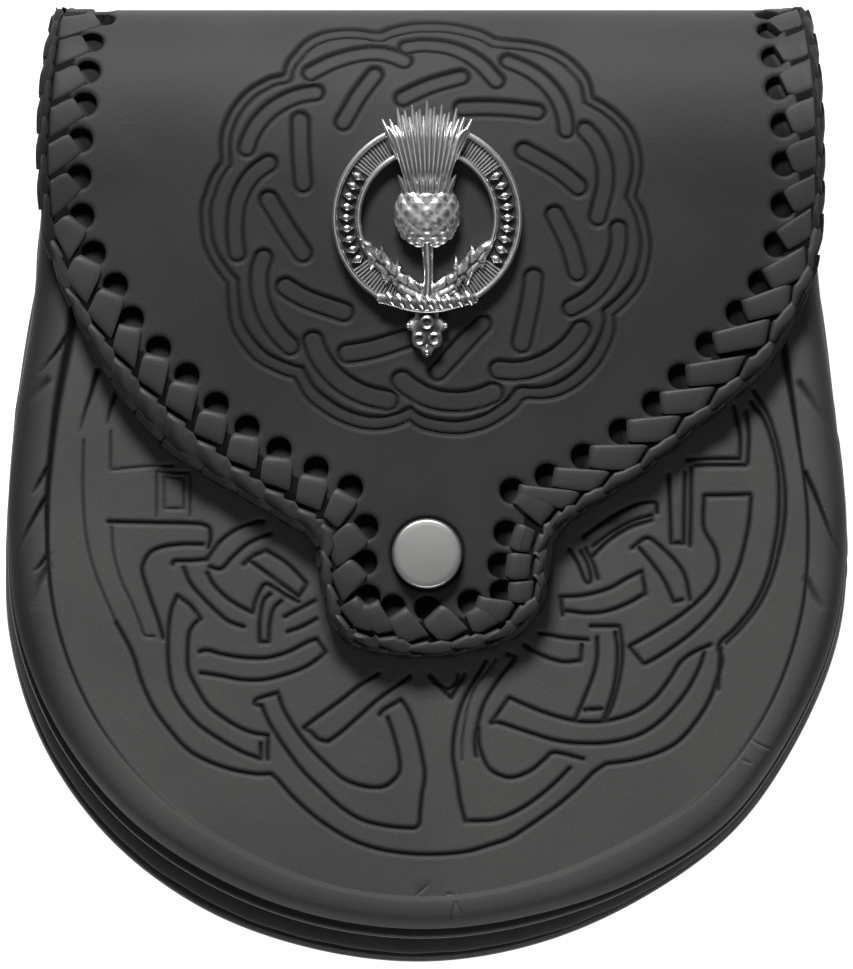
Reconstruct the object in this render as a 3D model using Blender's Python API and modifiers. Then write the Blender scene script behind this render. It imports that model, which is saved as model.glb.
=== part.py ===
"""Leather sporran pouch: a moulded front, a gusset and a back, closed by a laced flap with a snap
and a cast badge. It lies on its back: +Z comes out of its front, +Y is up towards the fold of the
flap, and the origin is at the middle of its footprint. Lengths are in metres."""

import math

import bmesh
import bpy
from mathutils import Matrix, Vector

MM = 0.001

# Sections through the pouch, at angles about its centre: radii in mm of the back outline, the front
# panel's edge and the crease that frames its field. The pouch is fuller at the lower left.
CENTRE_Y = -8.0
SECTIONS = (
    # angle, back, edge, crease
    (135, 114.0, 113.2, 101.5),
    (150, 95.9, 95.2, 86.0),
    (165, 90.0, 89.3, 81.0),
    (180, 88.7, 88.1, 79.8),
    (195, 91.4, 89.0, 80.5),
    (210, 93.7, 89.0, 80.8),
    (225, 94.6, 88.3, 80.3),
    (240, 94.2, 86.7, 79.2),
    (255, 93.1, 85.8, 78.9),
    (270, 92.6, 85.4, 78.7),
    (285, 91.8, 85.4, 78.4),
    (300, 91.3, 87.0, 79.0),
    (315, 91.7, 89.0, 81.0),
    (330, 90.5, 88.4, 81.4),
    (345, 90.0, 88.6, 80.8),
    (360, 88.5, 87.9, 79.8),
    (375, 89.1, 88.5, 80.0),
    (390, 95.7, 95.0, 85.4),
    (405, 113.4, 112.6, 101.0),
)
TOP_HALF_WIDTH = {"back": 79.0, "edge": 78.4, "crease": 70.5}
COLUMN = {"back": 1, "edge": 2, "crease": 3}
STATIONS = 48

WALL = 2.5 * MM            # front panel
GUSSET_WALL = 2.0 * MM
SHEET = 2.2 * MM           # flap and back panel
GAP = 0.3 * MM

# Heights above the surface it lies on
RIM_TOP = 6.4 * MM
BACK_Z = RIM_TOP + GAP
WELT_Z = 21.0 * MM
WELT_HEIGHT = 1.7 * MM
EDGE_Z = WELT_Z + WELT_HEIGHT + GAP
CREASE_Z = 33.9 * MM
FIELD_Z = 34.7 * MM
FLAP_Z = 36.2 * MM         # underside of the flap where it lies flat, before the crown
CROWN = 3.0 * MM           # how far the middle of the front stands above its corners
CROWN_HALF_X = 88.0 * MM
CROWN_HALF_Y = 100.0 * MM

MOUTH_Y = 72.0 * MM        # top edge of the front panel
GUSSET_TOP_Y = 82.0 * MM
RIM_WIDTH = 7.0 * MM
RIM_TOP_Y = 52.0 * MM      # the rim's ends, below the flap's rear layer
BACK_TOP_Y = 90.4 * MM
BACK_CORNER = 10.0 * MM
BACK_INSET = 5.2 * MM       # inside the back outline, within the gusset

# Moulded band of the front panel: share of the way from its edge to the crease, and height
BAND = (
    (0.0, EDGE_Z),
    (0.03, 28.0 * MM),
    (0.12, 31.6 * MM),
    (0.34, 34.2 * MM),
    (0.66, 34.8 * MM),
    (0.92, 34.4 * MM),
    (1.0, CREASE_Z),
)
# Field of the front panel: share of the way from the crease to the middle of the mouth, and height
FIELD = (
    (0.025, 34.5 * MM),
    (0.15, FIELD_Z),
    (0.4, FIELD_Z),
    (0.7, FIELD_Z),
)
# Gusset from back to front: share from the front edge to the back outline, how far inside it, height
GUSSET = (
    (1.0, 2.2 * MM, RIM_TOP + GAP),
    (0.72, 0.4 * MM, 10.0 * MM),
    (0.72, 0.0 * MM, 14.0 * MM),
    (0.45, 0.0 * MM, 17.5 * MM),
    (0.0, 0.2 * MM, WELT_Z - GAP),
)
# Front welt's section: share from the front edge to the back outline, how far inside it, height
WELT = (
    (0.28, 0.0, WELT_Z + WELT_HEIGHT / 2),
    (0.2, 0.0, WELT_Z + WELT_HEIGHT),
    (0.0, 2.2 * MM, WELT_Z + WELT_HEIGHT),
    (0.0, 2.2 * MM, WELT_Z),
    (0.2, 0.0, WELT_Z),
)

# Fold of the flap, seen from the side: it leaves the flat at FOLD_START and turns round the top
FOLD_START = 64.0 * MM
FOLD_TOP_Y = 100.0 * MM
FOLD_MID_Z = 17.0 * MM
REAR_CURVE = 11.0 * MM
REAR_Z = 4.1 * MM
REAR_END_Y = 60.0 * MM
FOLD_STEPS = 14

# Outer edge of the laced flap laid flat (mm): left side going down, round the tongue, right side up
FLAP_EDGE = (
    (-68, 141), (-71, 122), (-78.0, 112), (-79.8, 100), (-81.8, 82), (-82.0, 64), (-80.7, 51.5),
    (-76.1, 39.9), (-68.1, 22.7), (-58.9, 10.3), (-51.3, 3.8), (-32.2, -7.4), (-24.6, -12.6),
    (-22.9, -20.0), (-21.2, -28.4), (-17.3, -33.4), (-11.0, -35.9), (0.5, -36.8), (11.0, -35.2),
    (19.4, -32.2), (24.4, -26.3), (26.4, -19.0), (29.2, -9.4), (44.4, 1.1), (57.9, 12.2),
    (66.3, 18.9), (73.0, 25.6), (80.5, 41.2), (82.8, 51.5), (83.1, 64), (82.8, 82), (81.2, 100),
    (79.0, 112), (72, 122), (69, 141),
)
# Rows of lacing holes laid flat (mm): the curve that each row follows, and its number of holes
HOLE_ROWS = (
    (((-70.5, 97.5), (-72, 81), (-73.2, 64.7), (-70, 48.5), (-61.8, 34.7), (-44.2, 16.6),
      (-16.1, -1.1)), 16),
    (((-13.1, -8.4), (-13.3, -18), (-11.6, -24.5), (0, -26.2), (13.5, -24.3), (15.6, -16.6),
      (17.7, -1.9)), 10),
    (((24.9, 1.7), (40.6, 11.3), (58.7, 29.4), (69.8, 42.6), (74.4, 58.8), (74.5, 75), (73.2, 92),
      (71.7, 102)), 15),
)
FLAP_COLUMNS = 8
# Rows across the flat flap, in mm up from the tip of its tongue to where the fold starts
FLAP_ROWS = (0.1, 0.6, 1.6, 3.2, 6, 10, 15, 19, 22, 26, 31, 36, 42, 49, 57, 66, 76, 86)
HOLE_RADIUS = 2.4 * MM
HOLE_SIDES = 8
LACE_PITCH = 8.0 * MM
LACE_HALF_WIDTH = 1.5 * MM
LACE_HALF_HEIGHT = 2.1 * MM
LACE_REAR_HALF_HEIGHT = 1.2 * MM   # pressed between the flap and the back panel
EDGE_INSET = 2 * LACE_HALF_WIDTH + 0.4 * MM    # from the outer edge of the lacing to the leather

SNAP_AT = (-0.1 * MM, -14.4 * MM)
SNAP_RADIUS = 7.3 * MM
SNAP_HEIGHT = 2.6 * MM
STUD_RADIUS = 5.0 * MM

BADGE_AT = (-0.1 * MM, 55.9 * MM)
RING_OUTER = 20.0 * MM
RING_INNER = 13.8 * MM
RING_RIM = 1.2 * MM
RING_FLOOR = 1.4 * MM
RING_HEIGHT = 2.4 * MM
EMBLEM_HEIGHT = 3.8 * MM
BADGE_TILT = math.radians(2.2)     # it follows the crown of the flap as far as the fold

LOOP_X = 38.0 * MM
LOOP_WIDTH = 24.0 * MM
LOOP_LENGTH = 42.0 * MM
LOOP_MIDDLE_Y = 32.0 * MM
LOOP_SHEET = 2.0 * MM
LOOP_TAB = 6.0 * MM

LEATHER = {"color": (0.055, 0.056, 0.056), "roughness": 0.42, "metallic": 0.0}
LACE = {"color": (0.04, 0.041, 0.041), "roughness": 0.38, "metallic": 0.0}
NICKEL = {"color": (0.62, 0.61, 0.59), "roughness": 0.3, "metallic": 1.0}
PEWTER = {"color": (0.66, 0.66, 0.66), "roughness": 0.28, "metallic": 1.0}


def clear_scene():
    for obj in list(bpy.data.objects):
        bpy.data.objects.remove(obj, do_unlink=True)


def collection(name):
    made = bpy.data.collections.new(name)
    bpy.context.scene.collection.children.link(made)
    return made


def material(name, look):
    made = bpy.data.materials.new(name)
    made.use_nodes = True
    shader = made.node_tree.nodes["Principled BSDF"]
    shader.inputs["Base Color"].default_value = (*look["color"], 1.0)
    shader.inputs["Roughness"].default_value = look["roughness"]
    shader.inputs["Metallic"].default_value = look["metallic"]
    return made


# --- curves in the plane ---

def spline(points, t):
    """Catmull-Rom curve through 2D points at t, which counts points."""
    i = min(int(t), len(points) - 2)
    f = t - i
    b, c = points[i], points[i + 1]
    a = points[i - 1] if i else [2 * p - q for p, q in zip(b, c)]
    d = points[i + 2] if i + 2 < len(points) else [2 * q - p for p, q in zip(b, c)]
    return tuple(
        0.5 * (2 * q + (r - p) * f + (2 * p - 5 * q + 4 * r - s) * f**2
               + (3 * q - p - 3 * r + s) * f**3)
        for p, q, r, s in zip(a, b, c, d)
    )


def spaced(points, count, per_point=12):
    """The smooth curve through the points, at count evenly spaced places."""
    steps = (len(points) - 1) * per_point
    fine = [Vector(spline(points, k / per_point)) for k in range(steps + 1)]
    run = [0.0]
    for p, q in zip(fine, fine[1:]):
        run.append(run[-1] + (q - p).length)
    made, k = [], 0
    for n in range(count):
        goal = run[-1] * n / (count - 1)
        while k < steps - 1 and run[k + 1] < goal:
            k += 1
        span = run[k + 1] - run[k]
        made.append(fine[k].lerp(fine[k + 1], (goal - run[k]) / span if span else 0.0))
    return made


def length_of(points):
    return sum((q - p).length for p, q in zip(points, points[1:]))


def inset(points, distance):
    """The open curve moved to the left of its direction by distance."""
    moved = []
    for i, p in enumerate(points):
        ahead = points[min(i + 1, len(points) - 1)]
        along = (ahead - points[max(i - 1, 0)]).normalized()
        moved.append(p + Vector((-along.y, along.x)) * distance)
    return moved


def outline(kind, top_y, count=STATIONS):
    """One outline of the pouch as a U, from its top left round the bottom to its top right."""
    half = TOP_HALF_WIDTH[kind] * MM
    points = [(-half, top_y)]
    for row in SECTIONS:
        angle = math.radians(row[0])
        radius = row[COLUMN[kind]] * MM
        point = (radius * math.cos(angle), CENTRE_Y * MM + radius * math.sin(angle))
        if point[1] < top_y - 6 * MM:
            points.append(point)
    points.append((half, top_y))
    return spaced(points, count)


def crown(x, y):
    return CROWN * max(0.0, 1 - (x / CROWN_HALF_X) ** 2) * max(0.0, 1 - (y / CROWN_HALF_Y) ** 2)


# --- meshes ---

def add_mesh(name, bm, group, look, smooth_angle=40, closed=True):
    mesh = bpy.data.meshes.new(name)
    if closed:
        bmesh.ops.recalc_face_normals(bm, faces=bm.faces)
    bm.to_mesh(mesh)
    bm.free()
    mesh.shade_smooth()
    mesh.set_sharp_from_angle(angle=math.radians(smooth_angle))
    obj = bpy.data.objects.new(name, mesh)
    obj.data.materials.append(look)
    group.objects.link(obj)
    return obj


def grid(rows, closed=False, caps=False):
    """Faces between rows of points: closed joins each row's ends, caps fill the first and last."""
    bm = bmesh.new()
    made = [[bm.verts.new(p) for p in row] for row in rows]
    for low, high in zip(made, made[1:]):
        count = len(low)
        for k in range(count if closed else count - 1):
            n = (k + 1) % count
            bm.faces.new((low[k], low[n], high[n], high[k]))
    if caps:
        bm.faces.new(made[0])
        bm.faces.new(list(reversed(made[-1])))
    return bm


def solidify(obj, thickness):
    """Gives an open surface whose faces point outwards a wall on its inner side."""
    shell = obj.modifiers.new("Wall", "SOLIDIFY")
    shell.thickness = thickness
    shell.offset = -1.0
    shell.use_even_offset = True


def sweep(path, section):
    """Rows of a closed section along a path in the plane; the section is (outward, height)."""
    rows = []
    for i, p in enumerate(path):
        ahead = path[min(i + 1, len(path) - 1)]
        along = (ahead - path[max(i - 1, 0)]).normalized()
        outward = Vector((along.y, -along.x))
        rows.append([Vector((*(p + outward * out), z)) for out, z in section])
    return rows


def from_curve(name, loops, thickness, group, look):
    """A flat plate from closed outlines: holes are outlines inside the first one."""
    data = bpy.data.curves.new(name, "CURVE")
    data.dimensions = "2D"
    data.fill_mode = "BOTH"
    data.extrude = thickness / 2
    for loop in loops:
        line = data.splines.new("POLY")
        line.points.add(len(loop) - 1)
        for point, place in zip(line.points, loop):
            point.co = (place[0], place[1], 0.0, 1.0)
        line.use_cyclic_u = True
    curve = bpy.data.objects.new(name + "_curve", data)
    group.objects.link(curve)
    bpy.context.view_layer.update()
    evaluated = curve.evaluated_get(bpy.context.evaluated_depsgraph_get())
    mesh = bpy.data.meshes.new_from_object(evaluated)
    bpy.data.objects.remove(curve, do_unlink=True)
    bm = bmesh.new()
    bm.from_mesh(mesh)
    bpy.data.meshes.remove(mesh)
    bmesh.ops.remove_doubles(bm, verts=bm.verts, dist=1e-6)
    return bm


def circle(centre, radius, sides, start=0.0):
    turns = (start + 2 * math.pi * k / sides for k in range(sides))
    return [(centre[0] + radius * math.cos(a), centre[1] + radius * math.sin(a)) for a in turns]


# --- pouch ---

def back_panel(group, look):
    side = inset(outline("back", BACK_TOP_Y - BACK_CORNER, 60), BACK_INSET)
    half = (side[-1].x - side[0].x) / 2 - BACK_CORNER
    loop = [tuple(p) for p in side]
    for sign, first in ((1, 0), (-1, 90)):
        for k in range(1, 7):
            a = math.radians(first + 15 * k)
            loop.append((sign * half + BACK_CORNER * math.cos(a),
                         BACK_TOP_Y - BACK_CORNER + BACK_CORNER * math.sin(a)))
    bm = from_curve("back_panel", [loop[:-1]], SHEET, group, look)
    bmesh.ops.translate(bm, verts=bm.verts, vec=(0, 0, BACK_Z + SHEET / 2))
    return add_mesh("back_panel", bm, group, look)


def back_rim(group, look):
    path = outline("back", RIM_TOP_Y)
    section = ((0.0, 2.2 * MM), (0.0, 4.4 * MM), (-1.8 * MM, RIM_TOP), (-RIM_WIDTH, RIM_TOP),
               (-RIM_WIDTH, 0.0), (-1.8 * MM, 0.0))
    return add_mesh("back_rim", grid(sweep(path, section), closed=True, caps=True), group, look)


def gusset(group, look):
    front = outline("edge", GUSSET_TOP_Y)
    back = outline("back", GUSSET_TOP_Y)
    rows = []
    for share, inside, z in GUSSET:
        line = [p.lerp(q, share) for p, q in zip(front, back)]
        rows.append([Vector((p.x, p.y, z)) for p in inset(line, inside)])
    obj = add_mesh("gusset", grid(rows), group, look, closed=False)
    solidify(obj, GUSSET_WALL)
    return obj


def front_welt(group, look):
    """The raised seam between the front panel and the gusset, which shows most at the bottom."""
    front = outline("edge", GUSSET_TOP_Y)
    back = outline("back", GUSSET_TOP_Y)
    lines = []
    for share, inside, z in WELT:
        line = [p.lerp(q, share) for p, q in zip(front, back)]
        lines.append([Vector((p.x, p.y, z)) for p in inset(line, inside)])
    rows = list(zip(*lines))
    return add_mesh("front_welt", grid(rows, closed=True, caps=True), group, look)


def front_panel(group, look):
    edge = outline("edge", MOUTH_Y)
    crease = outline("crease", MOUTH_Y)
    mouth = Vector((0.0, MOUTH_Y))
    rows = []
    for share, z in BAND:
        line = [p.lerp(q, share) for p, q in zip(edge, crease)]
        rows.append([Vector((p.x, p.y, z + (crown(*p) if share else 0.0))) for p in line])
    for share, z in FIELD:
        line = [p.lerp(mouth, share) for p in crease]
        rows.append([Vector((p.x, p.y, z + crown(*p))) for p in line])
    bm = grid(rows)
    bm.verts.ensure_lookup_table()
    first = len(bm.verts) - STATIONS
    top = bm.verts.new((mouth.x, mouth.y, FIELD_Z + crown(*mouth)))
    bm.verts.ensure_lookup_table()
    for k in range(STATIONS - 1):
        bm.faces.new((bm.verts[first + k], bm.verts[first + k + 1], top))
    obj = add_mesh("front_panel", bm, group, look, closed=False)
    solidify(obj, WALL)
    return obj


# --- flap ---

def fold_line():
    """The flap's outer face from the start of the fold, round the top, to the rear end (y, z)."""
    top = FLAP_Z + SHEET
    line = []
    for k in range(FOLD_STEPS + 1):
        a = math.pi / 2 * k / FOLD_STEPS
        line.append(Vector((FOLD_START + (FOLD_TOP_Y - FOLD_START) * math.sin(a),
                            FOLD_MID_Z + (top - FOLD_MID_Z) * math.cos(a))))
    rear = FOLD_TOP_Y - REAR_CURVE
    for k in range(1, 9):
        a = math.pi / 2 * k / 8
        line.append(Vector((rear + REAR_CURVE * math.cos(a),
                            FOLD_MID_Z - (FOLD_MID_Z - REAR_Z) * math.sin(a))))
    line.append(Vector((REAR_END_Y, REAR_Z)))
    return line


def fold_runs(line):
    runs = [FOLD_START]
    for p, q in zip(line, line[1:]):
        runs.append(runs[-1] + (q - p).length)
    return runs


def on_flap(x, v, depth, line, runs):
    """Where a place of the flat flap lies on the worn one: depth is measured in from its outer face."""
    if v <= FOLD_START:
        return Vector((x, v, FLAP_Z + SHEET - depth + crown(x, v)))
    k = 0
    while k < len(runs) - 2 and runs[k + 1] < v:
        k += 1
    share = (v - runs[k]) / (runs[k + 1] - runs[k])
    p = line[k].lerp(line[k + 1], share)
    before = line[k] - line[k - 1] if k else Vector((1.0, 0.0))
    after = line[k + 1] - line[k]
    beyond = line[k + 2] - line[k + 1] if k + 2 < len(line) else after
    along = (before.normalized() + after.normalized()).lerp(
        after.normalized() + beyond.normalized(), share).normalized()
    p = p + Vector((-along.y, along.x)) * -depth
    lift = crown(x, p.x) if p.y > FOLD_MID_Z else 0.0
    return Vector((x, p.x, p.y + lift))


def hole_centres():
    return [p for row, count in HOLE_ROWS for p in spaced([(x * MM, y * MM) for x, y in row], count)]


def flap_edge(distance, count):
    """The flap's outer edge laid flat, moved in by distance; its ends stop at the rear end."""
    line = fold_line()
    last = fold_runs(line)[-1] - 0.1 * MM
    points = [(x * MM, min(v * MM, last)) for x, v in FLAP_EDGE]
    return inset(spaced(points, count), distance)


def across(edge, v):
    """Where the flap's edge lies to the left and to the right at one place down the flat flap."""
    tip = min(range(len(edge)), key=lambda i: edge[i].y)
    ends = []
    for side in (edge[:tip + 1], list(reversed(edge[tip:]))):
        for p, q in zip(side, side[1:]):
            if p.y >= v >= q.y:
                ends.append(p.lerp(q, (p.y - v) / (p.y - q.y)).x)
                break
    return ends


def flap(group, look):
    line = fold_line()
    runs = fold_runs(line)
    edge = flap_edge(EDGE_INSET, 240)
    tip = min(p.y for p in edge)
    places = [tip + down * MM for down in FLAP_ROWS] + runs[:-1] + [edge[0].y - 0.1 * MM]
    rows = []
    for v in places:
        left, right = across(edge, v)
        xs = [left + (right - left) * k / FLAP_COLUMNS for k in range(FLAP_COLUMNS + 1)]
        rows.append([Vector((x, v, SHEET / 2)) for x in xs]
                    + [Vector((x, v, -SHEET / 2)) for x in reversed(xs)])
    obj = add_mesh("flap", grid(rows, closed=True, caps=True), group, look)
    punch = bmesh.new()
    for p in hole_centres():
        bmesh.ops.create_cone(punch, cap_ends=True, segments=HOLE_SIDES, radius1=HOLE_RADIUS,
                              radius2=HOLE_RADIUS, depth=3 * SHEET,
                              matrix=Matrix.Translation((p.x, p.y, 0.0)))
    join(obj, add_mesh("punch", punch, group, look), "DIFFERENCE")
    worn = bmesh.new()
    worn.from_mesh(obj.data)
    bmesh.ops.triangulate(worn, faces=worn.faces)
    for vert in worn.verts:
        vert.co = on_flap(vert.co.x, vert.co.y, SHEET / 2 - vert.co.z, line, runs)
    worn.to_mesh(obj.data)
    worn.free()
    return obj


def edge_lacing(group, look):
    """The braid along the flap's edge: a cord that swells once for each turn of the lace."""
    line = fold_line()
    runs = fold_runs(line)
    turns = round(length_of(flap_edge(0.0, 200)) / LACE_PITCH)
    per_turn = 3
    middle = flap_edge(LACE_HALF_WIDTH, turns * per_turn + 1)
    rows = []
    for i, p in enumerate(middle):
        ahead = middle[min(i + 1, len(middle) - 1)]
        along = (ahead - middle[max(i - 1, 0)]).normalized()
        outward = Vector((along.y, -along.x))
        swell = (0.72, 1.0, 0.9)[i % per_turn]
        height = LACE_HALF_HEIGHT if p.y < runs[FOLD_STEPS] else LACE_REAR_HALF_HEIGHT
        row = []
        for k in range(6):
            a = math.pi / 3 * (k + 0.5)
            q = p + outward * (LACE_HALF_WIDTH * swell * math.cos(a))
            depth = SHEET / 2 + height * swell * math.sin(a)
            row.append(on_flap(q.x, q.y, depth, line, runs))
        rows.append(row)
    return add_mesh("edge_lacing", grid(rows, closed=True, caps=True), group, look, 60)


# --- fittings ---

def turned(name, profile, segments, place, group, look):
    """A profile of (radius, height) turned about +Z; radii of nought close it."""
    bm = bmesh.new()
    verts = [bm.verts.new((r, 0.0, z)) for r, z in profile]
    for a, b in zip(verts, verts[1:]):
        bm.edges.new((a, b))
    bmesh.ops.spin(bm, geom=list(bm.verts) + list(bm.edges), axis=(0, 0, 1), cent=(0, 0, 0),
                   angle=2 * math.pi, steps=segments, use_merge=True)
    bmesh.ops.remove_doubles(bm, verts=bm.verts, dist=1e-6)
    bmesh.ops.translate(bm, verts=bm.verts, vec=place)
    return add_mesh(name, bm, group, look)


def snap_cap(group, look):
    base = FLAP_Z + SHEET + crown(*SNAP_AT) + GAP
    profile = [(0.0, 0.0), (SNAP_RADIUS - 0.5 * MM, 0.0), (SNAP_RADIUS, 0.6 * MM)]
    for k in range(1, 5):
        a = math.pi / 2 * k / 4
        profile.append((SNAP_RADIUS * math.cos(a) ** 0.6 if k < 4 else 0.0,
                        0.6 * MM + (SNAP_HEIGHT - 0.6 * MM) * math.sin(a)))
    return turned("snap_cap", profile, 24, (*SNAP_AT, base), group, look)


def snap_stud(group, look):
    base = FIELD_Z + crown(*SNAP_AT) + GAP
    height = FLAP_Z - FIELD_Z - 2 * GAP
    profile = [(0.0, 0.0), (STUD_RADIUS, 0.0), (STUD_RADIUS, height), (0.0, height)]
    return turned("snap_stud", profile, 16, (*SNAP_AT, base), group, look)


def badge_ring(group, look):
    r, o = RING_INNER, RING_OUTER
    profile = [(r, 0.0), (o, 0.0), (o, RING_HEIGHT), (o - RING_RIM, RING_HEIGHT),
               (o - RING_RIM, RING_FLOOR), (r + RING_RIM, RING_FLOOR), (r + RING_RIM, RING_HEIGHT),
               (r, RING_HEIGHT), (r, 0.0)]
    return turned("badge", profile, 40, (0, 0, 0), group, look)


def plate(name, outline_mm, low, high, group, look):
    """A flat cast shape with an outline in mm about the badge's centre, as a cutter or a boss."""
    loop = [(x * MM, y * MM) for x, y in outline_mm]
    bm = from_curve(name, [loop], high - low, group, look)
    bmesh.ops.translate(bm, verts=bm.verts, vec=(0, 0, (low + high) / 2))
    return add_mesh(name, bm, group, look)


def join(obj, other, kind="UNION"):
    """Applies a Boolean with another object, which is then removed."""
    step = obj.modifiers.new(kind, "BOOLEAN")
    step.operation = kind
    step.solver = "EXACT"
    step.object = other
    bpy.context.view_layer.update()
    evaluated = obj.evaluated_get(bpy.context.evaluated_depsgraph_get())
    mesh = bpy.data.meshes.new_from_object(evaluated)
    old = obj.data
    obj.modifiers.clear()
    obj.data = mesh
    bpy.data.meshes.remove(old)
    bpy.data.objects.remove(other, do_unlink=True)


def thistle_outline():
    """A thistle head on its stem, with a tuft above a round bulb: half of it, mirrored."""
    half = [(1.3, -18.6), (1.2, -9.6), (3.4, -6.8), (6.0, -3.6), (7.0, 0.4), (6.3, 4.4), (4.9, 7.0)]
    tuft = [(5.6, 9.6), (7.6, 15.0), (9.4, 20.4), (7.6, 20.0), (6.4, 22.4), (4.6, 20.8), (3.2, 23.6),
            (1.6, 21.4), (0.0, 24.4)]
    right = half + tuft
    return right + [(-x, y) for x, y in reversed(right[:-1])]


def leaf_outline(side):
    """One spiny leaf from the foot of the stem out to the ring."""
    points = [(0.6, -17.6), (5.0, -16.8), (7.2, -13.6), (8.6, -14.4), (10.2, -10.2), (11.8, -10.4),
              (14.6, -4.2), (11.0, -5.8), (9.4, -8.2), (7.8, -7.6), (5.6, -11.0), (3.6, -11.6),
              (0.8, -14.2)]
    ordered = points if side > 0 else list(reversed(points))
    return [(side * x, y) for x, y in ordered]


def strap_tip_outline():
    """The strap end that hangs below the ring, with shoulders and a pointed knob."""
    half = [(2.4, -17.8), (2.6, -21.2), (4.0, -21.6), (4.2, -23.4), (3.0, -24.0), (3.3, -26.4),
            (1.9, -27.8), (1.1, -27.6), (1.0, -28.6), (0.0, -29.2)]
    return half + [(-x, y) for x, y in reversed(half[:-1])]


def badge(group, look):
    obj = badge_ring(group, look)
    for side in (-1, 1):
        leaf = leaf_outline(side)
        join(obj, plate("leaf", leaf, 0.11 * MM, RING_HEIGHT + 0.3 * MM, group, look))
    join(obj, plate("tip", strap_tip_outline(), 0.07 * MM, 2.0 * MM, group, look))
    join(obj, plate("thistle", thistle_outline(), 0.17 * MM, EMBLEM_HEIGHT, group, look))
    bar = [(-10.6, -18.2), (-10.6, -16.0), (-5, -15.4), (5, -15.4), (10.2, -16.0), (10.2, -18.2),
           (5, -18.9), (-5, -18.9)]
    join(obj, plate("bar", list(reversed(bar)), 0.23 * MM, RING_HEIGHT + 0.9 * MM, group, look))
    eyelet = plate("eyelet", [(x / MM, y / MM) for x, y in circle((0, -22.0 * MM), 0.9 * MM, 10)],
                   -1.0 * MM, 5.0 * MM, group, look)
    join(obj, eyelet, "DIFFERENCE")
    touch = FLAP_Z + SHEET + crown(0.0, FOLD_START) + GAP
    base = touch + math.sin(BADGE_TILT) * (FOLD_START - BADGE_AT[1])
    lean = Matrix.Rotation(-BADGE_TILT, 4, "X")
    obj.data.transform(Matrix.Translation((*BADGE_AT, base)) @ lean)
    return obj


def back_loop(name, x, group, look):
    """A strap loop on the back: two tabs on the back panel and a raised middle for a belt to pass."""
    far = LOOP_LENGTH / 2
    rise = 4.0 * MM
    low, high = LOOP_SHEET, RIM_TOP
    line = [(-far, high), (-far + LOOP_TAB, high), (-far + LOOP_TAB + rise, low),
            (far - LOOP_TAB - rise, low), (far - LOOP_TAB, high), (far, high)]
    outer = [(-far, high - LOOP_SHEET), (-far + LOOP_TAB - 1.0 * MM, high - LOOP_SHEET),
             (-far + LOOP_TAB + rise - 1.0 * MM, 0.0), (far - LOOP_TAB - rise + 1.0 * MM, 0.0),
             (far - LOOP_TAB + 1.0 * MM, high - LOOP_SHEET), (far, high - LOOP_SHEET)]
    loop = outer + list(reversed(line))
    rows = [[Vector((x + side * LOOP_WIDTH / 2, LOOP_MIDDLE_Y + y, z)) for y, z in loop]
            for side in (-1, 1)]
    return add_mesh(name, grid(rows, closed=True, caps=True), group, look)


def build():
    clear_scene()
    parts = collection("sporran")
    leather = material("leather", LEATHER)
    lace = material("lace", LACE)
    nickel = material("nickel", NICKEL)
    pewter = material("pewter", PEWTER)
    back_panel(parts, leather)
    back_rim(parts, leather)
    gusset(parts, leather)
    front_welt(parts, leather)
    front_panel(parts, leather)
    flap(parts, leather)
    edge_lacing(parts, lace)
    snap_cap(parts, nickel)
    snap_stud(parts, nickel)
    badge(parts, pewter)
    back_loop("back_loop_left", -LOOP_X, parts, leather)
    back_loop("back_loop_right", LOOP_X, parts, leather)


build()
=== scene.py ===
import math
import random

import bmesh
import bpy
import numpy as np
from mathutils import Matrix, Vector, kdtree
from mathutils.geometry import delaunay_2d_cdt


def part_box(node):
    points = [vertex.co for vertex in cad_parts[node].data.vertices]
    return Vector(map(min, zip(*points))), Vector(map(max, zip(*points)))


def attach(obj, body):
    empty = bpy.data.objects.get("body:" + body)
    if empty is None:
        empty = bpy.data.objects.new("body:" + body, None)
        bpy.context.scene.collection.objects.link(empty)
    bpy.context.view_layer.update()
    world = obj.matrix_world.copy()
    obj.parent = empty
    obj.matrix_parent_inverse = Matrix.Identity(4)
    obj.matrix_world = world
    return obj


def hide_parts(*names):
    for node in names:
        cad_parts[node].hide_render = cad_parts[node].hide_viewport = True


# Looks of a black leather sporran pouch that lies on its back. Shapes are worked out in mm,
# and turned into metres where a mesh is made.
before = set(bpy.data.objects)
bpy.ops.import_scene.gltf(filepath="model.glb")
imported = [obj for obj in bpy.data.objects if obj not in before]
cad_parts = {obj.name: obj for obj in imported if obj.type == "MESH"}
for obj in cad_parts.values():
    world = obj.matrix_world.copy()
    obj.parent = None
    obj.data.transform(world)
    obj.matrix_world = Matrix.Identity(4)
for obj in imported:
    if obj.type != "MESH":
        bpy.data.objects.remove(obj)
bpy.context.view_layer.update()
mm = 0.001
dice = random.Random(7)
photo = {"middleX": 427.5, "middleY": 485.0, "pixel": 0.21}    # the photograph's pixels in mm


def placesAt(goal, run, line):
    # the points of a line at lengths along it
    return np.column_stack([np.interp(goal, run, line[:, k]) for k in range(line.shape[1])])


def curveThrough(points, step, closed=False):
    # an evenly spaced smooth line through the points
    p = np.array(points, float)
    if closed:
        ext = np.vstack((p[-1], p, p[0], p[1]))
    else:
        ext = np.vstack((2 * p[0] - p[1], p, 2 * p[-1] - p[-2]))
    t = np.linspace(0, 1, 12, endpoint=False)[:, None]
    fine = [
        0.5 * (2 * b + (c - a) * t + (2 * a - 5 * b + 4 * c - d) * t**2
               + (3 * b - a - 3 * c + d) * t**3)
        for a, b, c, d in zip(ext, ext[1:], ext[2:], ext[3:])
    ]
    fine = np.vstack(fine + [p[:1] if closed else p[-1:]])
    run = runOf(fine)
    count = max(2, round(run[-1] / step) + 1)
    goal = np.linspace(0, run[-1], count)
    line = placesAt(goal, run, fine)
    return line[:-1] if closed else line


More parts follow.
